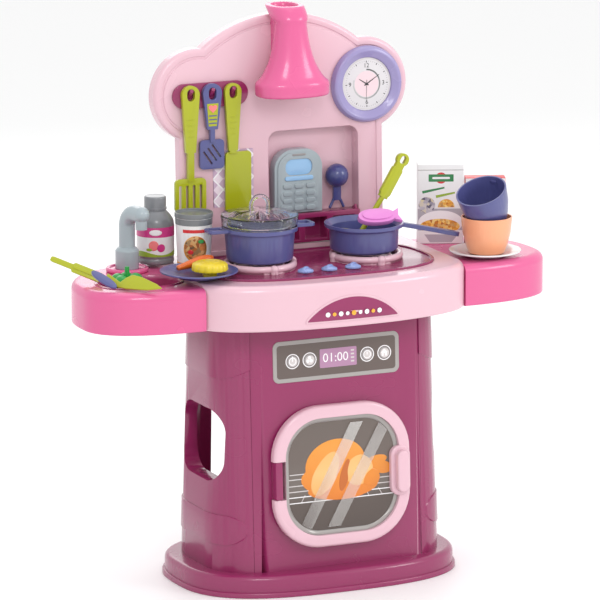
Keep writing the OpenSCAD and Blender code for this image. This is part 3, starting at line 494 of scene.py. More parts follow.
def bevelLevel(piece, level, size, segments=4, skip=None):
    near = 0.00002
    at = piece.data.vertices
    pick(piece, "EDGE", lambda edge: all(abs(at[v].co.z - level * mm) < near for v in edge.vertices)
         and not (skip and all(skip(at[v].co) for v in edge.vertices)))
    bpy.ops.mesh.bevel(offset=size * mm, segments=segments, affect="EDGES", clamp_overlap=True)
    leaveEdit()


def cut(piece, cutter):
    applyModifier(piece, "BOOLEAN", operation="DIFFERENCE", solver="EXACT", object=cutter)
    bpy.data.objects.remove(cutter)


def fuse(piece, other):
    applyModifier(piece, "BOOLEAN", operation="UNION", solver="EXACT", object=other)
    bpy.data.objects.remove(other)


def join(first, *others):
    activate(first)
    for other in others:
        other.select_set(True)
    bpy.ops.object.join()
    return first


def formed(name, stepsAround, stepsAlong, point, angle=38):  # a grid laid along a formula, seam closed
    bpy.ops.object.select_all(action="DESELECT")
    bpy.ops.mesh.primitive_grid_add(x_subdivisions=stepsAround, y_subdivisions=stepsAlong, size=1)
    piece = bpy.context.object
    piece.name = name
    for vertex in piece.data.vertices:
        where = point(vertex.co.x + 0.5, vertex.co.y + 0.5)
        vertex.co = Vector(where) * mm
    activate(piece)
    bpy.ops.object.mode_set(mode="EDIT")
    bpy.ops.mesh.select_all(action="SELECT")
    bpy.ops.mesh.remove_doubles(threshold=0.00001)
    bpy.ops.mesh.normals_make_consistent(inside=False)
    leaveEdit()
    smooth(piece, angle)
    return piece


def along(profile, share):  # a place on a list of rings, in equal steps
    place = share * (len(profile) - 1)
    index = min(int(place + 1e-9), len(profile) - 2)
    part = place - index
    return [a + (b - a) * part for a, b in zip(profile[index], profile[index + 1])]


def lathe(name, profile, middle, steps=72, angle=38, wobble=None):
    def point(u, v):
        r, z = along(profile, v)
        turn = 2 * pi * u
        if wobble:
            r = wobble(r, z, turn)
        return (middle[0] + r * cos(turn), middle[1] + r * sin(turn), middle[2] + z)
    return formed(name, steps, len(profile) - 1, point, angle)


def lettering(name, words, size, place, thickness=0.1):  # numbers only
    bpy.ops.object.select_all(action="DESELECT")
    bpy.ops.object.text_add()
    piece = bpy.context.object
    piece.name = name
    piece.data.body = words
    piece.data.size = size * mm
    piece.data.align_x = "CENTER"
    piece.data.align_y = "CENTER"
    piece.data.extrude = thickness * mm
    piece.data.resolution_u = 3
    bpy.ops.object.convert(target="MESH")
    piece = bpy.context.object
    piece.data.transform(place)
    return piece


def ringOutlineSlab(name, middle, outer, inner, low, high, place, steps=40):
    def point(u, v):
        r, z = along([(inner, low), (outer, low), (outer, high), (inner, high), (inner, low)], v)
        return (middle[0] + r * cos(2 * pi * u), middle[1] + r * sin(2 * pi * u), z)
    piece = formed(name, steps, 4, point)
    piece.data.transform(place)
    return piece


# ---- plinth ----
plinth = {"halfWidth": 180, "halfDepth": 122, "middleY": -12, "power": 2.8, "height": 26, "lip": 3,
          "lipHeight": 6, "roll": 7, "wall": 13, "rib": 4}


def makePlinth():
    def plan(inset):
        return squaredOval(plinth["halfWidth"] - inset, plinth["halfDepth"] - inset, plinth["power"], 144,
                           (0, plinth["middleY"]))
    low = slab("plinthLip", plan(0), 0, plinth["lipHeight"], frontRound=2, segments=3)
    body = slab("plinthBody", plan(plinth["lip"]), 1, plinth["height"], frontRound=plinth["roll"], segments=7)
    hollow = slab("plinthHollow", plan(plinth["wall"]), -1, plinth["height"] - 3)
    cut(low, slab("lipHollow", plan(plinth["wall"]), -1, 20))
    cut(body, hollow)
    base = join(body, low)
    half = plinth["rib"] / 2
    for long in (True, False):
        reach = plinth["halfWidth"] - 8 if long else plinth["halfDepth"] - 8
        outline = roundedRect(reach, half, 1.5, (0, plinth["middleY"])) if long else roundedRect(
            half, reach, 1.5, (0, plinth["middleY"]))
        base = join(base, slab("plinthRib", outline, 0.2, plinth["height"] - 2))
    base.name = "plinthShell"
    smooth(base)
    settle(base, "base_plinth", raspberry)


makePlinth()
print("plinth made")

# ---- counter and wings ----
counter = {"halfWidth": 172, "foot": 329, "top": 384, "frontMiddle": -70, "frontReach": 70, "frontPower": 2.3,
           "swell": 4, "back": 88, "edge": 9, "lipHeight": 8, "ledgeY": 57, "ledgeHalf": 136, "ledgeTop": 392}
wing = {"reach": 132, "top": 380, "middleY": -25, "front": 70, "back": 113, "power": 2.5, "edge": 10}
hob = {"halfWidth": 150, "halfDepth": 88, "middleY": -20, "power": 3, "back": 56, "deck": 384.5}
sink = {"x": -228, "y": -22, "a": 50, "b": 34, "power": 2.6, "lip": 4}


def counterPlan(inset=0):
    a = counter["halfWidth"] + counter["swell"]
    points = squaredOval(a - inset, counter["frontReach"] - inset, counter["frontPower"], 96,
                         (0, counter["frontMiddle"]), 180, 360)
    side = counter["halfWidth"]
    front = [point for point in points if abs(point[0]) < side - 0.5]
    share = ((side / (a - inset)) ** counter["frontPower"] if side < a - inset else 1)
    corner = counter["frontMiddle"] - (counter["frontReach"] - inset) * max(0, 1 - share) ** (
        1 / counter["frontPower"])
    return ([(-side, counter["back"] - inset), (-side, counter["frontMiddle"]), (-side, corner)] + front
            + [(side, corner), (side, counter["frontMiddle"]), (side, counter["back"] - inset)])


def wingPlan(sign, inset=0):
    points = []
    for i in range(-36, 37):
        x, y = squaredOval(wing["reach"] - inset, 1, wing["power"], 1, (0, 0), i * 2.5)[0]
        depth = (wing["front"] if y < 0 else wing["back"]) - inset
        points.append((sign * (counter["halfWidth"] + x), wing["middleY"] + y * depth))
    return points if sign > 0 else points[::-1]


def hobPlan(grow):
    points = squaredOval(hob["halfWidth"] + grow, hob["halfDepth"] + grow, hob["power"], 120,
                         (0, hob["middleY"]))
    return [(x, min(y, hob["back"] + grow)) for x, y in points]


def makeCounter():
    side = counter["halfWidth"]
    body = slab("counterShell", counterPlan(), counter["foot"], counter["top"])
    onSide = lambda co: abs(abs(co.x) - side * mm) < 0.0002
    bevelLevel(body, counter["top"], counter["edge"], 8, skip=onSide)
    bevelLevel(body, counter["foot"], 2, 3, skip=onSide)
    hollow = slab("counterHollow", counterPlan(6), counter["foot"] - 5, counter["foot"] + 8)
    cut(body, hollow)
    cut(body, slab("hobSeat", hobPlan(0.4), counter["top"] - 3, counter["top"] + 5))
    ledge = slab("counterLedge", roundedRect(counter["ledgeHalf"], 4, 1), counter["top"] - 2,
                 counter["ledgeTop"], Matrix.Translation((0, (counter["ledgeY"] + 4) * mm, 0)),
                 frontRound=1.5)
    piece = join(body, ledge)
    smooth(piece, 30)
    settle(piece, "counter_centre", lightPink)


def makeWings():
    side = counter["halfWidth"]
    atJoin = lambda co: abs(abs(co.x) - side * mm) < 0.0002
    for sign, node in ((-1, "left_wing"), (1, "right_wing")):
        body = slab(node + "Shell", wingPlan(sign), counter["foot"], wing["top"])
        bevelLevel(body, wing["top"], wing["edge"], 8, skip=atJoin)
        bevelLevel(body, counter["foot"], 2, 3, skip=atJoin)
        centre = Vector((sign * (side + wing["reach"] / 2 - 3), wing["middleY"] + 16, 0))
        cut(body, slab("wingHollow", roundedRect(54, 62, 36, centre), counter["foot"] - 5,
                       counter["foot"] + 14))
        if sign < 0:
            plan = squaredOval(sink["a"] + 0.4, sink["b"] + 0.4, sink["power"], 96, (sink["x"], sink["y"]))
            cut(body, slab("sinkHole", plan, 300, 400))
        smooth(body, 30)
        settle(body, node, hotPink)


def makeSink():
    middle = (sink["x"], sink["y"])
    rings = [(0, -30), (0.86, -30), (0.92, -29), (0.95, -26), (0.962, -4), (0.975, -0.5), (1.0, 1.0),
             (1.05, 1.3), (1.08, 0.7), (1.08, 0.05), (0.995, 0.05), (0.985, -27), (0.97, -31), (0.9, -32),
             (0, -32)]

    def point(u, v):
        share, z = along(rings, v)
        x, y = squaredOval(sink["a"], sink["b"], sink["power"], 1, (0, 0), 360 * u)[0]
        return (middle[0] + x * share, middle[1] + y * share, wing["top"] + z)
    # the sink basin takes the darker hot pink, which is painted shade in the recess
    settle(formed("sinkShell", 96, len(rings) - 1, point), "sink_basin", shadedHotPink)


makeCounter()
makeWings()
makeSink()
softCopy("hob_plate", raspberry, 0.7)
print("counter made")

# ---- badge on the counter's front ----
badge = {"halfWidth": 59, "height": 27, "foot": 338.5, "radius": 80, "rim": 2.4}


def counterFront(x, inset=0.0):  # the depth of the counter's front skin at x
    a = counter["halfWidth"] + counter["swell"]
    share = max(0.0, 1 - (abs(x) / a) ** counter["frontPower"])
    return counter["frontMiddle"] - (counter["frontReach"] + inset) * share ** (1 / counter["frontPower"])


def wrapOnFront(piece):  # bends a flat shape round the counter's front skin
    for vertex in piece.data.vertices:
        proud = -vertex.co.y / mm
        vertex.co.y = (counterFront(vertex.co.x / mm) - proud) * mm


def archOutline(grow, foot):
    radius = badge["radius"] + grow
    reach = badge["height"] - badge["radius"]
    lift = foot - badge["foot"]
    start = atan2(lift - reach, sqrt(max(1, radius ** 2 - (lift - reach) ** 2)))
    half = min(badge["halfWidth"] + grow, radius * cos(start))
    begin = atan2(sqrt(radius ** 2 - half ** 2), half)
    points = arc((0, reach), radius, begin * 180 / pi, 180 - begin * 180 / pi, 40)
    across = [(-half + 2 * half * i / 40, lift) for i in range(41)]
    return points + across


def makeBadge():
    place = facing((0, 0, badge["foot"]))
    rim = slab("badgeRim", archOutline(badge["rim"], badge["foot"] - badge["rim"]), -0.6, 1.0, place,
               frontRound=0.8)
    plate = slab("badgePlate", archOutline(0, badge["foot"]), -0.4, 1.6, place, frontRound=0.4)
    wrapOnFront(rim)
    wrapOnFront(plate)
    smooth(rim)
    smooth(plate)
    settle(plate, "badge", raspberry)
    settle(rim, "counter_centre", lightPink, replace=False)
    for i in range(-4, 5):  # a row of plain dots in place of words
        dot = slab("badgeDot%d" % (i + 4), arc((i * 8.5, 7.5), 2.4 if i % 2 else 3.0, 0, 345, 23), 1.5, 1.9,
                   place, frontRound=0.2)
        wrapOnFront(dot)
        smooth(dot)
        settle(dot, "badge", goldPrint if i % 3 == 0 else whitePrint, replace=False)


makeBadge()
print("badge made")

# ---- cabinet ----
for node in ("left_column", "right_column"):
    softCopy(node, raspberry, 0.8)
softCopy("front_panel", raspberry, 0.6)
softCopy("hinge_block", raspberry, 1.2)
softCopy("hinge_pin", steel, 0.3)
lean = atan(102 * (1 - 0.864) / 303) * 180 / pi
panelPlace = facing((0, -102, 26), lean)

# ---- oven door ----
door = {"halfWidth": 90.5, "halfHeight": 87, "corner": 62, "frame": 15, "middle": 113, "gap": 3, "thick": 12,
        "block": 23.5, "windowBack": 8, "windowFront": 10.5, "handleX": 77, "handleZ": 111}


def makeDoor():
    w, h, r, f = door["halfWidth"], door["halfHeight"], door["corner"], door["frame"]
    low, high, mid = door["gap"], door["gap"] + door["thick"], (0, door["middle"])
    ring = slab("doorFrame", roundedRect(w, h, r, mid, 14), low, high, frontRound=4.5, backRound=1.5,
                segments=6)
    cut(ring, slab("doorHole", roundedRect(w - f, h - f, r - f, mid, 14), low - 5, high + 5))
    inner = (w - f) * mm
    near = lambda edge: all(abs(ring.data.vertices[v].co.z - high * mm) < 0.0001
                            and abs(ring.data.vertices[v].co.x) < inner + 0.0003
                            and abs(ring.data.vertices[v].co.y - door["middle"] * mm) < (h - f + 0.3) * mm
                            for v in edge.vertices)
    pick(ring, "EDGE", near)
    bpy.ops.mesh.bevel(offset=3 * mm, segments=5, affect="EDGES", clamp_overlap=True)
    leaveEdit()
    notch = slab("doorNotch", [(-w - 5, mid[1] - door["block"]), (-w + f - 0.01, mid[1] - door["block"]),
                               (-w + f - 0.01, mid[1] + door["block"]), (-w - 5, mid[1] + door["block"])],
                 low - 5, high + 5)
    cut(ring, notch)
    pad = slab("handlePad", roundedRect(13, 31, 12, (door["handleX"], door["handleZ"])), low, high + 1,
               frontRound=2.5, segments=5)
    piece = join(ring, pad)
    piece.data.transform(panelPlace)
    smooth(piece, 35)
    settle(piece, "oven_door", lightPink)
    grip = slab("handleGrip", roundedRect(8, 26, 7.9, (door["handleX"], door["handleZ"]), 10), high + 1,
                high + 10,
                panelPlace, frontRound=4.5, segments=7)
    settle(grip, "oven_handle", lightPink)


def doorPrint(name, outline, low, high, material, round=0.0):
    piece = slab(name, outline, low, high, panelPlace, frontRound=round)
    return settle(piece, "oven_window", material, replace=False)


def blob(name, middle, halves, low, swell, tilt, material, pointed=0.0):  # a puffed shape on the window
    def point(u, v):
        r = sin(v * pi / 2) if v < 1 else 1
        turn = 2 * pi * u
        x = halves[0] * r * cos(turn) * (1 + pointed * sin(turn))
        y = halves[1] * r * sin(turn)
        t = radians(tilt)
        return (middle[0] + x * cos(t) - y * sin(t), middle[1] + x * sin(t) + y * cos(t),
                low + swell * cos(v * pi / 2))
    piece = formed(name, 40, 10, point, 60)
    bpy.ops.object.select_all(action="DESELECT")
    pick(piece, "EDGE", lambda edge: all(abs(piece.data.vertices[v].co.z - low * mm) < 0.00001
                                         for v in edge.vertices))
    bpy.ops.mesh.edge_face_add()
    bpy.ops.mesh.select_all(action="SELECT")
    bpy.ops.mesh.normals_make_consistent(inside=False)
    leaveEdit()
    piece.data.transform(panelPlace)
    smooth(piece, 60)
    return settle(piece, "oven_window", material, replace=False)


def makeWindow():
    w, h, r, f = door["halfWidth"], door["halfHeight"], door["corner"], door["frame"]
    mid, front = (0, door["middle"]), door["windowFront"] - 0.9
    outline = roundedRect(w - f - 0.2, h - f - 0.2, r - f, mid, 14)
    sheet = slab("windowSheet", outline, door["windowBack"], front, panelPlace)
    settle(sheet, "oven_window", windowDark)
    border = slab("windowBorder", outline, front, front + 0.5)
    cut(border,
        slab("borderHole", roundedRect(w - f - 5.5, h - f - 5.5, r - f - 5, mid, 14), front - 3, front + 3))
    border.data.transform(panelPlace)
    settle(border, "oven_window", silverPrint, replace=False)
    top = front + 0.02
    for i, (z, left, right) in enumerate([(118, -69, 69), (112, -70, 69), (104, -70, 69), (97, -70, 69),
                                          (90, -71, 70), (83, -72, 70)]):
        doorPrint("rackRail%d" % i, roundedRect((right - left) / 2, 0.55, 0.5, ((right + left) / 2, z), 3),
                  top, top + 0.18, whitePrint if i > 3 else palePrint)
    for i in range(7):
        x = -54 + i * 18
        doorPrint("rackWire%d" % i, [(x - 0.4, 83), (x + 0.4, 83), (x * 0.9 + 0.4, 92), (x * 0.9 - 0.4, 92)],
                  top, top + 0.16, palePrint)
    base = top + 0.1
    blob("roastTail", (53, 117), (15, 8), base, 0.5, -12, roast)
    blob("roastTip", (47, 126), (14, 6), base, 0.4, 8, roast)
    blob("roastBack", (-2, 106), (52, 22), base, 0.75, -6, roast)
    blob("roastBody", (-8, 126), (40, 31), base, 1.0, 8, roast)
    blob("roastFoot", (-5, 93), (40, 11), base, 0.8, -3, roast)
    blob("roastShade", (4, 112), (6, 20), base + 0.85, 0.28, -14, roastDark)
    blob("roastLeg", (-20, 117), (16, 31), base + 0.4, 1.0, -30, roastPale)
    blob("roastThigh", (22, 116), (20, 19), base + 0.35, 1.05, 20, roastPale)
    blob("roastKnee", (38, 106), (13, 11), base + 0.4, 0.9, -10, roast)
    # painted reflection: two pale glare streaks laid over the window
    for i, (foot, head, width) in enumerate([(-58, 12, 17), (-20, 52, 17)]):
        doorPrint("glareStreak%d" % i, [(foot, 50), (foot + width, 50), (head + width, 176), (head, 176)],
                  front + 1.75, front + 1.8, glare)


def trimStreaks():  # keeps the streaks inside the window's border
    w, h, r, f = door["halfWidth"], door["halfHeight"], door["corner"], door["frame"]
    for i in range(2):
        piece = bpy.data.objects["glareStreak%d" % i]
        keep = slab("streakKeep", roundedRect(w - f - 6, h - f - 6, r - f - 5, (0, door["middle"]), 14),
                    2, 20, panelPlace)
        applyModifier(piece, "BOOLEAN", operation="INTERSECT", solver="EXACT", object=keep)
        bpy.data.objects.remove(keep)


makeDoor()
makeWindow()
trimStreaks()
print("oven door made")

# ---- sign with the display ----
sign = {"halfWidth": 83.7, "halfHeight": 25.4, "z": 255.3, "buttons": (-58, -35.5, 41, 64), "button": 9.2}


def signPrint(name, outline, low, high, material, **more):
    return settle(slab(name, outline, low, high, panelPlace, **more), "control_panel", material,
                  replace=False)


def makeSign():
    mid = (0, sign["z"])
    border = slab("signBorder", roundedRect(sign["halfWidth"], sign["halfHeight"], 8, mid), -0.02, 0.8,
                  panelPlace,
                  frontRound=0.4)
    settle(border, "control_panel", silverPrint)
    signPrint("signField", roundedRect(sign["halfWidth"] - 5, sign["halfHeight"] - 5, 4, mid), 0.7, 0.86,
              taupePrint)
    signPrint("displayField", roundedRect(24.5, 11.5, 1.5, (2.5, sign["z"])), 0.85, 0.98, mauvePrint)
    digits = lettering("displayDigits", "01:00", 15.5, panelPlace @ Matrix.Translation(
        Vector((-1, sign["z"], 1.0)) * mm), 0.05)
    digits.data.materials.clear()
    settle(digits, "control_panel", whitePrint, replace=False)
    for i in range(4):
        signPrint("displayMark%d" % i, roundedRect(2.2, 1.0, 0.5, (21.5, sign["z"] + 7 - i * 4.4), 3), 0.95,
                  1.02,
                  palePrint)
    for i, x in enumerate(sign["buttons"]):
        middle = (x, sign["z"])
        ring = ringOutlineSlab("buttonRing%d" % i, middle, sign["button"], sign["button"] - 1.2, 0.85, 1.0,
                               panelPlace)
        settle(ring, "control_panel", whitePrint, replace=False)
        signPrint("buttonFace%d" % i, arc(middle, sign["button"] - 2, 0, 350, 35), 0.85, 0.95, greyPrint)
        signPrint("buttonGlow%d" % i, arc((x + 0.6, sign["z"] - 0.4), sign["button"] - 3.4, 0, 350, 35),
                  0.94, 0.97, palePrint)
        inner = sign["button"] - 4.2
        if i == 0:
            settle(ringOutlineSlab("powerRing", middle, inner, inner - 1.2, 0.96, 1.02, panelPlace),
                   "control_panel", whitePrint, replace=False)
            signPrint("powerBar", roundedRect(0.8, 3.2, 0.7, (x, sign["z"] + 3), 3), 0.96, 1.03, whitePrint)
        elif i == 1:
            for k in range(3):
                turn = radians(90 + 120 * k)
                signPrint("fanBlade%d" % k,
                          arc((x + 2.6 * cos(turn), sign["z"] + 2.6 * sin(turn)), 2.1, 0, 345, 23),
                          0.96, 1.02, whitePrint)
        elif i == 2:
            settle(ringOutlineSlab("timerRing", middle, inner, inner - 1.0, 0.96, 1.02, panelPlace),
                   "control_panel", whitePrint, replace=False)
            signPrint("timerHand", roundedRect(0.6, 1.9, 0.5, (x, sign["z"] + 1.5), 3), 0.96, 1.03,
                      whitePrint)
        else:
            home = [(-4.6, 0.2), (0, 4.8), (4.6, 0.2), (3.4, 0.2), (3.4, -4), (1.1, -4), (1.1, -0.8),
                    (-1.1, -0.8),
                    (-1.1, -4), (-3.4, -4), (-3.4, 0.2)]
            signPrint("homeShape", [(x + px, sign["z"] + pz) for px, pz in home][::-1], 0.96, 1.02,
                      whitePrint)


makeSign()
print("sign made")

# ---- backsplash ----
back = {"y": 60.5, "z": 384, "lean": 2, "half": 136, "lobeX": 112, "lobeZ": 200, "lobeR": 57.4, "archR": 167,
        "height": 294, "thick": 18, "wall": 3, "recess": (-19.5, 101.5, 8, 149), "recessR": 13, "depth": 19}
backPlace = facing((0, back["y"], back["z"]), back["lean"])


def circleMeet(x1, z1, r1, x2, z2, r2):  # the upper meeting point of two circles
    d = hypot(x2 - x1, z2 - z1)
    a = (r1 ** 2 - r2 ** 2 + d ** 2) / (2 * d)
    h = sqrt(r1 ** 2 - a ** 2)
    mx, mz = x1 + a * (x2 - x1) / d, z1 + a * (z2 - z1) / d
    found = [(mx + s * h * (z2 - z1) / d, mz - s * h * (x2 - x1) / d) for s in (1, -1)]
    return max(found, key=lambda p: p[1])


def backOutline(inset, foot=0.0):
    half, lobeR, archR = back["half"] - inset, back["lobeR"] - inset, back["archR"] - inset
    low = back["lobeZ"] - sqrt(lobeR ** 2 - (half - back["lobeX"]) ** 2)
    archZ = back["height"] - back["archR"]
    meet = circleMeet(back["lobeX"], back["lobeZ"], lobeR, 0, archZ, archR)
    a0 = atan2(low - back["lobeZ"], half - back["lobeX"]) * 180 / pi
    a1 = atan2(meet[1] - back["lobeZ"], meet[0] - back["lobeX"]) * 180 / pi
    b0 = atan2(meet[1] - archZ, meet[0]) * 180 / pi
    right = arc((back["lobeX"], back["lobeZ"]), lobeR, a0, a1, 40)
    arch = arc((0, archZ), archR, b0, 180 - b0, 56)[1:-1]
    left = [(-x, z) for x, z in right[::-1]]
    return [(half, foot)] + right + arch + left + [(-half, foot)]


def makeBacksplash():
    t, wall = back["thick"], back["wall"]
    x0, x1, foot, z1 = back["recess"]
    body = slab("backShell", backOutline(0, foot), -t, 0)
    bevelLevel(body, 0, 5, 6, skip=lambda co: co.y < (foot + 0.2) * mm)
    cut(body, slab("backHollow", backOutline(wall, -5), -t - 2, -wall))
    groove = slab("grooveCutter", backOutline(9.5, -5), -1.3, 5)
    cut(groove, slab("grooveKeep", backOutline(12.5, -30), -9, 9))
    cut(body, groove)
    mid, half = ((x0 + x1) / 2, (z1 - 40) / 2), (x1 - x0) / 2
    tall = (z1 + 40) / 2
    tray = slab("trayShell", roundedRect(half + wall, tall + wall, back["recessR"] + wall, (mid[0], mid[1])),
                -back["depth"] - wall, -1.5, backRound=2)
    cutBelow = slab("trayFoot", roundedRect(400, 200, 5, (0, foot - 200)), -60, 60)
    cut(tray, cutBelow)
    fuse(body, tray)
    hole = slab("recessHole", roundedRect(half, tall, back["recessR"], mid), -back["depth"], 8)
    cut(hole, slab("recessFoot", roundedRect(400, 200, 5, (0, foot - 201)), -60, 60))
    cut(body, hole)
    activate(body)
    body.data.transform(backPlace)
    applyModifier(body, "BEVEL", width=1.2 * mm, segments=3, limit_method="ANGLE", angle_limit=radians(50),
                  use_clamp_overlap=True)
    smooth(body, 35)
    settle(body, "backsplash", lightPink)


makeBacksplash()
softCopy("shelf_riser", raspberry, 0.9)
print("backsplash made")

# ---- hood ----
hood = {"rings": [(0, 37, 0, 0), (596, 37, 43, 26.5), (584, 37, 43, 26.5)], "foot": 582,
        "shape": [(582, 37, 44.4, 28.6), (582.6, 37, 45.6, 29.4), (584, 37, 46.4, 30), (588, 37, 46.6, 30),
                  (594, 37, 46.6, 30), (597.5, 37, 46.2, 29.8), (599.5, 37, 44.6, 29),
                  (602, 37.2, 41.5, 27.6),
                  (606, 37.5, 38, 26), (612, 37.9, 34, 24.6), (620, 38.5, 29.6, 22.8),
                  (630, 39.2, 25.8, 21.3),
                  (642, 40, 22.6, 19.8), (655, 40.9, 20.4, 18.7), (667, 41.7, 19.2, 18.1),
                  (671.5, 42.2, 19.4, 18.3),
                  (674, 44, 20.8, 20.4), (676.5, 47, 21.8, 22.8), (680, 50, 22.2, 24.2),
                  (684, 54.5, 22.2, 25.8),
                  (688, 58.8, 22, 26.8), (689.4, 59.8, 21.2, 26.2), (690, 60, 20, 25), (690, 60, 16, 20),
                  (688.5, 60, 15, 19), (686, 60, 14.5, 18.5), (685.5, 60, 0, 0)]}


def makeHood():
    inside = [(595, 37, 0, 0), (595, 37, 42.4, 26), (594, 37, 43, 26.5), (583, 37, 43, 26.5),
              (582, 37, 43.6, 27.4)]
    rings = inside + hood["shape"]

    def point(u, v):
        z, y, a, b = along(rings, v)
        px, py = squaredOval(a, b, 2.4, 1, (0, 0), 360 * u)[0]
        return (px, y + py, z)
    body = formed("hoodShell", 96, len(rings) - 1, point, 40)
    for vertex in body.data.vertices:
        co = vertex.co
        plane = back["y"] * mm + (co.z - back["z"] * mm) * sin(radians(back["lean"])) - 0.0001
        if co.z < 0.6776 and co.y > plane:
            co.y = plane
        elif co.y > plane and co.z < 0.6784:
            co.z = 0.6784
    neck = slab("hoodNeck", roundedRect(14, 38, 6, (0, 255)), -2, 16, backPlace)
    body = join(body, neck)
    smooth(body, 40)
    settle(body, "hood", hotPink)


makeHood()
print("hood made")

# ---- clock ----
clock = {"x": 112.8, "z": 199.4, "dial": 33, "face": 3.0}


def clockPrint(name, outline, low, high, material):
    return settle(slab(name, outline, low, high, backPlace), "clock_dial", material, replace=False)


def sector(middle, outer, inner, start, end, steps):
    return arc(middle, outer, start, end, steps) + arc(middle, inner, end, start, steps)


def handOutline(turn, length, width, tail=0.0):
    t = radians(90 - turn)
    ux, uz = cos(t), sin(t)
    points = [(-tail, -width), (length, -width * 0.4), (length, width * 0.4), (-tail, width)]
    return [(clock["x"] + a * ux - b * uz, clock["z"] + a * uz + b * ux) for a, b in points]


def makeClock():
    middle = (clock["x"], clock["z"])
    top = clock["face"]
    softCopy("clock_ring", lavender, 1.0)
    softCopy("clock_dial", dialPrint, 0.2)
    clockPrint("dialHub", arc(middle, 16, 0, 354, 59), top, top + 0.1, dialPink)
    for k in range(12):
        shade = plastic("arcGrey%d" % k, tuple(0.10 + 0.04 * k for _ in range(3)), gloss=0.4, coat=0.1)
        start = 90 - k * 24
        clockPrint("arcStep%d" % k, sector(middle, 18.6, 16.8, start, start - 24, 6)[::-1], top, top + 0.12,
                   shade)
    settle(ringOutlineSlab("dialEdge", middle, 31.4, 30.6, top, top + 0.1, backPlace, 72), "clock_dial",
           palePrint,
           replace=False)
    for k in range(60):
        turn = radians(6 * k)
        long = 2.6 if k % 5 == 0 else 1.3
        wide = 0.45 if k % 5 == 0 else 0.22
        place = backPlace @ Matrix.Translation(Vector((*middle, 0)) * mm) @ Matrix.Rotation(-turn, 4, "Z")
        tick = slab("dialTick%d" % k, roundedRect(wide, long / 2, wide * 0.9, (0, 28.8 - long / 2), 2), top,
                    top + 0.14,
                    place)
        settle(tick, "clock_dial", inkBlack if k % 5 == 0 else greyPrint, replace=False)
    for words, turn in (("12", 0), ("3", 90), ("6", 180), ("9", 270)):
        t = radians(90 - turn)
        spot = Vector((middle[0] + 22.6 * cos(t), middle[1] + 22.6 * sin(t), top + 0.12)) * mm
        number = lettering("dialNumber" + words, words, 7.6, backPlace @ Matrix.Translation(spot), 0.06)
        settle(number, "clock_dial", inkBlack, replace=False)
    clockPrint("hourHand", handOutline(-58, 12, 0.9, 3), top + 0.16, top + 0.3, inkBlack)
    clockPrint("minuteHand", handOutline(58, 20, 0.8, 3.5), top + 0.22, top + 0.36, inkBlack)
    clockPrint("secondHand", handOutline(182, 21, 0.3, 5), top + 0.3, top + 0.42, inkBlack)
    clockPrint("handHub", arc(middle, 1.5, 0, 345, 23), top + 0.3, top + 0.5, inkBlack)


makeClock()
print("clock made")

# ---- tiles, rail and hanging tools ----
tile = {"x": -67, "z": 96, "halfWidth": 27, "halfHeight": 35}
tilePrint = tileMaterial((tile["x"] * mm, 0, 0.48), 0.0135)
softCopy("tile_sticker", tilePrint, 0.0)
softCopy("utensil_rail", raspberry, 1.6)
softCopy("fork_spatula", lime, 1.3)
softCopy("small_spatula", blueViolet, 1.3)
softCopy("cleaver", lime, 1.3)
tools = {"front": 55.5, "peg": 586, "rise": 1.3, "pegs": (-126, -97.5, -70)}


def toolPrint(name, index, node, outline, low, high, material, **more):
    place = facing((tools["pegs"][index], tools["front"] + 6, tools["peg"] + tools["rise"]))
    return settle(slab(name, outline, low, high, place, **more), node, material, replace=False)


def heartOutline(x, z, size):
    points = []
    for i in range(36):
        t = 2 * pi * i / 36
        points.append((x + size * 16 * sin(t) ** 3 / 16,
                       z + size * (13 * cos(t) - 5 * cos(2 * t) - 2 * cos(3 * t) - cos(4 * t)) / 16))
    return points[::-1]


def makeToolTrim():
    inlay = [(-7.6, -12), (7.6, -12), (5.4, -40), (-5.4, -40)]
    toolPrint("turnerInlay", 1, "small_spatula", inlay, 5.6, 6.35, lime, frontRound=0.3)
    toolPrint("turnerHeart", 1, "small_spatula", heartOutline(0, -18, 5.6), 6.1, 6.9, coral, frontRound=0.3)
    for k in range(3):
        toolPrint("turnerRib%d" % k, 1, "small_spatula", roundedRect(5.2, 0.7, 0.6, (0, -27 - 4.6 * k), 3),
                  6.1, 6.8,
                  blueViolet)
    for k in range(4):
        toolPrint("forkGrip%d" % k, 0, "fork_spatula",
                  roundedRect(5.0 - 0.4 * k, 0.7, 0.6, (0, -30 - 7 * k), 3), 5.7,
                  6.5, lime, frontRound=0.3)
        toolPrint("chopperGrip%d" % k, 2, "cleaver",
                  roundedRect(4.8 - 0.4 * k, 0.7, 0.6, (0, -30 - 7 * k), 3), 5.7,
                  6.5, lime, frontRound=0.3)


makeToolTrim()
print("tools made")

# ---- handset and scoop ----
handset = {"x": 21, "front": 79, "foot": 429.6}
softCopy("handset", greyBlue, 1.0)
softCopy("measuring_scoop", darkBlue, 0.5)
softCopy("handset_screen", screenBlue, 0.2)


def makeKeys():
    place = facing((handset["x"], handset["front"], handset["foot"] + 37))
    for row in range(4):
        for column in range(3):
            key = slab("phoneKey%d" % (row * 3 + column),
                       roundedRect(6.2, 3.2, 2.9, ((column - 1) * 15.5, -31 + row * 9.2), 5),
                       15.2, 17.2, place, frontRound=0.9)
            settle(key, "handset", greyBlue, replace=False)
    bar = slab("phoneBar", roundedRect(19, 2.8, 2.7, (0, 6.2), 5), 15.2, 17.0, place, frontRound=0.8)
    settle(bar, "handset", screenBlue, replace=False)
    ear = slab("phoneEar", roundedRect(9, 1.3, 1.2, (0, 35.4), 5), 15.2, 16.2, place, frontRound=0.5)
    settle(ear, "handset", greyPrint, replace=False)


makeKeys()
print("handset made")

# ---- hob ----
for node in ("left_burner", "right_burner"):
    softCopy(node, lightPink, 0.0)
for node in ("left_burner_dish", "right_burner_dish"):
    softCopy(node, silver, 0.3)
knob = {"y": -71, "step": 31.5, "radius": 9.5, "foot": 384.9, "ribs": 30, "turn": 40}


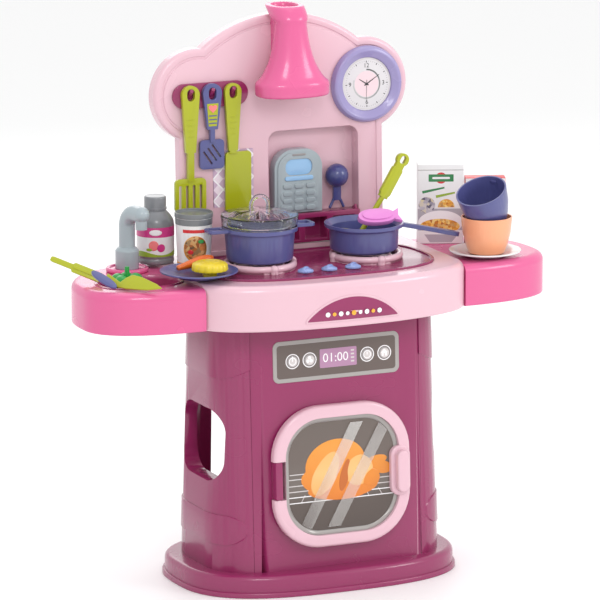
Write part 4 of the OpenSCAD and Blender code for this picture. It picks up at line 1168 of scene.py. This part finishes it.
def makeKnobs():
    def ribbed(r, z, turn):
        return r * (1 + 0.035 * cos(knob["ribs"] * turn)) if 5 < r and z < 3.2 else r
    for index, node in enumerate(("left_knob", "middle_knob", "right_knob")):
        x = (index - 1) * knob["step"]
        r = knob["radius"]
        profile = [(0, -9), (3, -9), (3, 0.2), (r * 0.95, 0.2), (r * 0.97, 0.5), (r * 0.965, 2.2),
                   (r * 0.93, 2.8),
                   (r * 0.8, 3.4), (r * 0.6, 4.6), (r * 0.35, 5.0), (0, 5.1)]
        skirt = lathe("knobSkirt%d" % index, profile, (x, knob["y"], knob["foot"]), 120, 40, ribbed)
        place = facing((x, knob["y"], knob["foot"]), 0, knob["turn"])
        bar = slab("knobBar%d" % index,
                   [(-8.4, 2.0), (8.4, 2.0), (7.6, 4.4), (4.6, 6.2), (1.8, 6.9), (-1.8, 6.9),
                                         (-4.6, 6.2), (-7.6, 4.4)], -1.9, 1.9, place, frontRound=0.9,
                   backRound=0.9)
        piece = join(skirt, bar)
        piece.name = node + "Shell"
        smooth(piece, 40)
        settle(piece, node, knobBlue)


makeKnobs()
print("hob made")

# ---- tap ----
softCopy("faucet_ring", hotPink, 0.0)
softCopy("faucet", greyBlue, 0.7)

# ---- cooking pieces ----
softCopy("pot", blueViolet, 0.6)
softCopy("pot_lid", clear, 0.4)
softCopy("pan", blueViolet, 0.6)
softCopy("ladle", lime, 1.0)
softCopy("toy_fish", lilac, 1.6)
softCopy("plate", blueViolet, 0.4)
softCopy("saucer", white, 0.4)
softCopy("peach_cup", peach, 0.5)
softCopy("blue_cup", blueViolet, 0.5)
print("cooking pieces made")

# ---- food on the plate ----
food = {"carrot": (-169, -40, 400.5), "carrotTilt": 84, "carrotTurn": 17, "cake": (-155, -66, 396.5)}


def makeCarrot():
    rings = 44

    def point(u, v):
        z = -31.2 + 85.4 * v
        body = 3.4 + (6.6 - 3.4) * min(1, max(0, (z + 28) / 48))
        if z < -28:
            body = sqrt(max(0.0, 3.4 ** 2 - (z + 28) ** 2))
        if z > 20:
            body = 6.6 * sqrt(max(0.0, 1 - ((z - 20) / 34.2) ** 2)) if z < 54.2 else 0
        body *= 1 - 0.07 * (0.5 + 0.5 * sin(z * 1.45))
        return (body * cos(2 * pi * u), body * sin(2 * pi * u), z)
    piece = formed("carrotShell", 32, rings * 2, point, 60)
    piece.data.transform(Matrix.Scale(57.6 / 85.4, 4, (0, 0, 1)))
    piece.data.transform(Matrix.Translation(Vector(food["carrot"]) * mm)
                         @ Matrix.Rotation(radians(food["carrotTurn"]), 4, "Z")
                         @ Matrix.Rotation(radians(food["carrotTilt"]), 4, "Y"))
    settle(piece, "carrot", carrotOrange)


def makeCake():
    def fluted(r, z, turn):
        return r * (1 + 0.045 * abs(cos(7.5 * turn)) - 0.02) if r > 15 and z < 10 else r
    profile = [(0, -7), (8, -7), (8.5, -6.6), (8.5, 0), (18, 0), (21.2, 0.8), (21.6, 2), (20.9, 8),
               (19.8, 9.2),
               (18.2, 9.8), (16.8, 10.6), (15.6, 11), (13.8, 11.1), (13, 10.5), (12.2, 10.5), (11.4, 11.5),
               (8.6, 11.7),
               (7.8, 11.0), (7.0, 11.0), (6.2, 11.9), (0, 12)]
    piece = lathe("cakeShell", profile, food["cake"], 150, 40, fluted)
    settle(piece, "cake", cakeYellow)


makeCarrot()
makeCake()
print("plate of food made")

# ---- bottle and can ----
bottle = {"x": -170.5, "y": 64, "foot": 384.3, "radius": 22.8}
can = {"x": -141, "y": 14, "foot": 386.8, "low": 20, "high": 22.6, "height": 60}
softCopy("can", cardWhite, 0.3)
softCopy("can_lid", lidGrey, 0.6)


def wrapLabel(name, middle, radius, z0, z1, start, end, node, material, thickness=0.25, steps=48, edge=None):
    def point(u, v):  # a closed thin patch: out, across, back
        ring = [(0, z0), (thickness, z0), (thickness, z1), (0, z1), (0, z0)]
        off, z = along(ring, v)
        turn = radians(start + (end - start) * u)
        reach = (radius(z) if callable(radius) else radius) + off
        lift = edge(u) if edge and z > z0 + 0.01 else 0
        return (middle[0] + reach * cos(turn), middle[1] + reach * sin(turn), middle[2] + z + lift)
    piece = formed(name, steps, 4, point)
    return settle(piece, node, material, replace=False)


def wrapSpot(name, middle, radius, turn, z, size, node, material, out=0.3, squash=1.0, tall=1.0):
    def point(u, v):
        r = size * v
        a = 2 * pi * u
        dz = r * sin(a) * tall
        da = r * cos(a) * squash
        reach = (radius(z + dz) if callable(radius) else radius) + out
        t = radians(turn) + da / reach
        return (middle[0] + reach * cos(t), middle[1] + reach * sin(t), middle[2] + z + dz)
    piece = formed(name, 28, 5, point)
    applyModifier(piece, "SOLIDIFY", thickness=0.12 * mm, offset=0)
    return settle(piece, node, material, replace=False)


def makeBottle():
    middle = (bottle["x"], bottle["y"], bottle["foot"])
    profile = [(0, 0.4), (15, 0.3), (17, 0), (20.6, 0), (22.2, 0.8), (22.8, 2.4), (22.8, 6), (22.3, 6.6),
               (22.3, 7.6),
               (22.8, 8.2), (22.8, 48), (22.5, 50.5), (21.6, 53.4), (19.6, 57), (17, 60.4), (15, 62.6),
               (14, 63.6),
               (13.4, 64), (13.4, 65.6), (14.2, 66), (14.2, 68), (13.4, 68.4), (13.4, 79.6), (13.1, 80.8),
               (12.2, 81.8),
               (10.5, 82), (0, 82)]
    settle(lathe("bottleShell", profile, middle, 72, 40), "bottle", bottleGrey)
    wave = lambda u: 2.2 * sin(2 * pi * u * 1.5)
    wrapLabel("bottleLabel", middle, 22.75, 10, 46, -195, 15, "bottle", cardWhite)
    wrapLabel("bottleBandTop", middle, 22.85, 34, 46, -195, 15, "bottle", magentaPrint, 0.3)
    wrapLabel("bottleBandLow", middle, 22.85, 10, 14.5, -195, 15, "bottle", leafPrint, 0.3, edge=wave)
    wrapSpot("bottleBerryOne", middle, 22.9, -118, 24, 6.2, "bottle", coral, 0.22)
    wrapSpot("bottleBerryTwo", middle, 22.9, -95, 21, 5.0, "bottle", magentaPrint, 0.26)
    wrapSpot("bottleLeafOne", middle, 22.9, -132, 19, 3.8, "bottle", leafPrint, 0.28, tall=0.5)
    wrapSpot("bottleSpot", middle, 22.9, -112, 40, 3.6, "bottle", whitePrint, 0.4, squash=2.2)


def makeCanLabel():
    middle = (can["x"], can["y"], can["foot"])
    wall = lambda z: can["low"] + (can["high"] - can["low"]) * z / can["height"] + 0.05
    wrapLabel("canBandLow", middle, wall, 0.6, 6, 0, 360, "can", goldPrint, 0.16, 72)
    wrapLabel("canBandTop", middle, wall, 52, 59.5, 0, 360, "can", lidGrey, 0.16, 72)
    wrapSpot("canDish", middle, wall, -108, 24, 15.2, "can", goldPrint, 0.14, tall=1.05)
    wrapSpot("canNoodles", middle, wall, -108, 25, 14.2, "can", noodles, 0.24, tall=1.02)
    wrapSpot("canLeaf", middle, wall, -90, 33, 4.0, "can", pepperGreen, 0.34, tall=0.6)
    wrapSpot("canBean", middle, wall, -124, 20, 3.4, "can", redPrint, 0.34, tall=0.8)
    wrapLabel("canStripe", middle, wall, 43.5, 47.5, -150, -66, "can", redPrint, 0.2, 30)


makeBottle()
makeCanLabel()
print("bottle and can made")

# ---- food boxes ----
boxes = {"turn": -22, "foot": 380.3, "tall": (206, 48, 28.5, 12, 100), "short": (256, 24, 25, 10, 83)}
softCopy("cereal_box", cardWhite, 0.7)
softCopy("red_box", redPrint, 0.7)


def boxFace(key):
    x, y, _, halfDepth, _ = boxes[key]
    t = radians(boxes["turn"])
    return facing((x + halfDepth * sin(t), y - halfDepth * cos(t), boxes["foot"]), 0, boxes["turn"])


def boxPrint(name, key, node, outline, low, high, material):
    return settle(slab(name, outline, low, high, boxFace(key)), node, material, replace=False)


def makeBoxPrints():
    tall = "tall", "cereal_box"
    boxPrint("boxFlapLine", *tall, roundedRect(28.4, 0.35, 0.3, (0, 93), 2), -0.02, 0.1, greyPrint)
    boxPrint("boxBand", *tall, roundedRect(15.5, 4.6, 0.8, (0.5, 83)), 0.0, 0.12, greenPrint)
    boxPrint("boxSun", *tall, arc((0.5, 83), 7.0, 0, 350, 35), -0.02, 0.09, redPrint)
    boxPrint("boxBandBar", *tall, roundedRect(11, 1.3, 1.2, (0.5, 83), 4), 0.1, 0.16, whitePrint)
    for i, (x, z, reach, turn) in enumerate([(-9, 68, 14, 12), (6, 62, 12, 12)]):
        t = radians(turn)
        ribbon = [(-reach, -1.7), (reach, -1.0), (reach, 1.0), (-reach, 1.7)]
        outline = [(x + a * cos(t) - b * sin(t), z + a * sin(t) + b * cos(t)) for a, b in ribbon]
        boxPrint("boxRibbon%d" % i, *tall, outline, 0.0, 0.1, greenPrint if i == 0 else leafPrint)
    boxPrint("boxTable", *tall, roundedRect(28.3, 14, 0.5, (0, 30.4)), -0.02, 0.08, cardGrey)
    boxPrint("boxBerries", *tall, arc((-17, 49), 10.2, 0, 350, 35), 0.0, 0.1, berries)
    boxPrint("boxGrain", *tall, arc((7, 46), 10.4, 0, 180, 24), 0.0, 0.1, flakes)
    boxPrint("boxBowlRim", *tall, squaredOval(27.8, 15, 2, 60, (0, 27)), 0.02, 0.13, whitePrint)
    boxPrint("boxFlakes", *tall, squaredOval(25, 9.6, 2, 60, (-1, 22)), 0.12, 0.2, flakes)
    boxPrint("boxBowl", *tall, [(-28.2, 17), (28.2, 17), (28.2, 1), (-28.2, 1)][::-1], 0.14, 0.22, cardWhite)
    boxPrint("boxBowlShade", *tall, [(-20, 12), (22, 12), (14, 2), (-13, 2)][::-1], 0.21, 0.25, cardGrey)
    short = "short", "red_box"
    boxPrint("redBoxTop", *short, roundedRect(24.6, 3.0, 0.6, (0, 79.4)), -0.02, 0.1, cardWhite)
    boxPrint("redBoxTopDots", *short, roundedRect(11, 1.4, 1.2, (6, 79.4), 3), 0.08, 0.16, screenBlue)
    boxPrint("redBoxDisc", *short, arc((0, 38), 17, 0, 354, 59), 0.0, 0.1, cardWhite)
    boxPrint("redBoxFood", *short, arc((0, 38), 14, 0, 354, 59), 0.09, 0.16, noodles)


makeBoxPrints()
print("boxes made")

# ---- sink pieces ----
softCopy("pepper", pepperGreen, 1.2, angle=20)
softCopy("sink_fork", lime, 0.7)
softCopy("sink_knife", lime, 0.7)
softCopy("sink_spoon", blueViolet, 0.7)
print("sink pieces made")
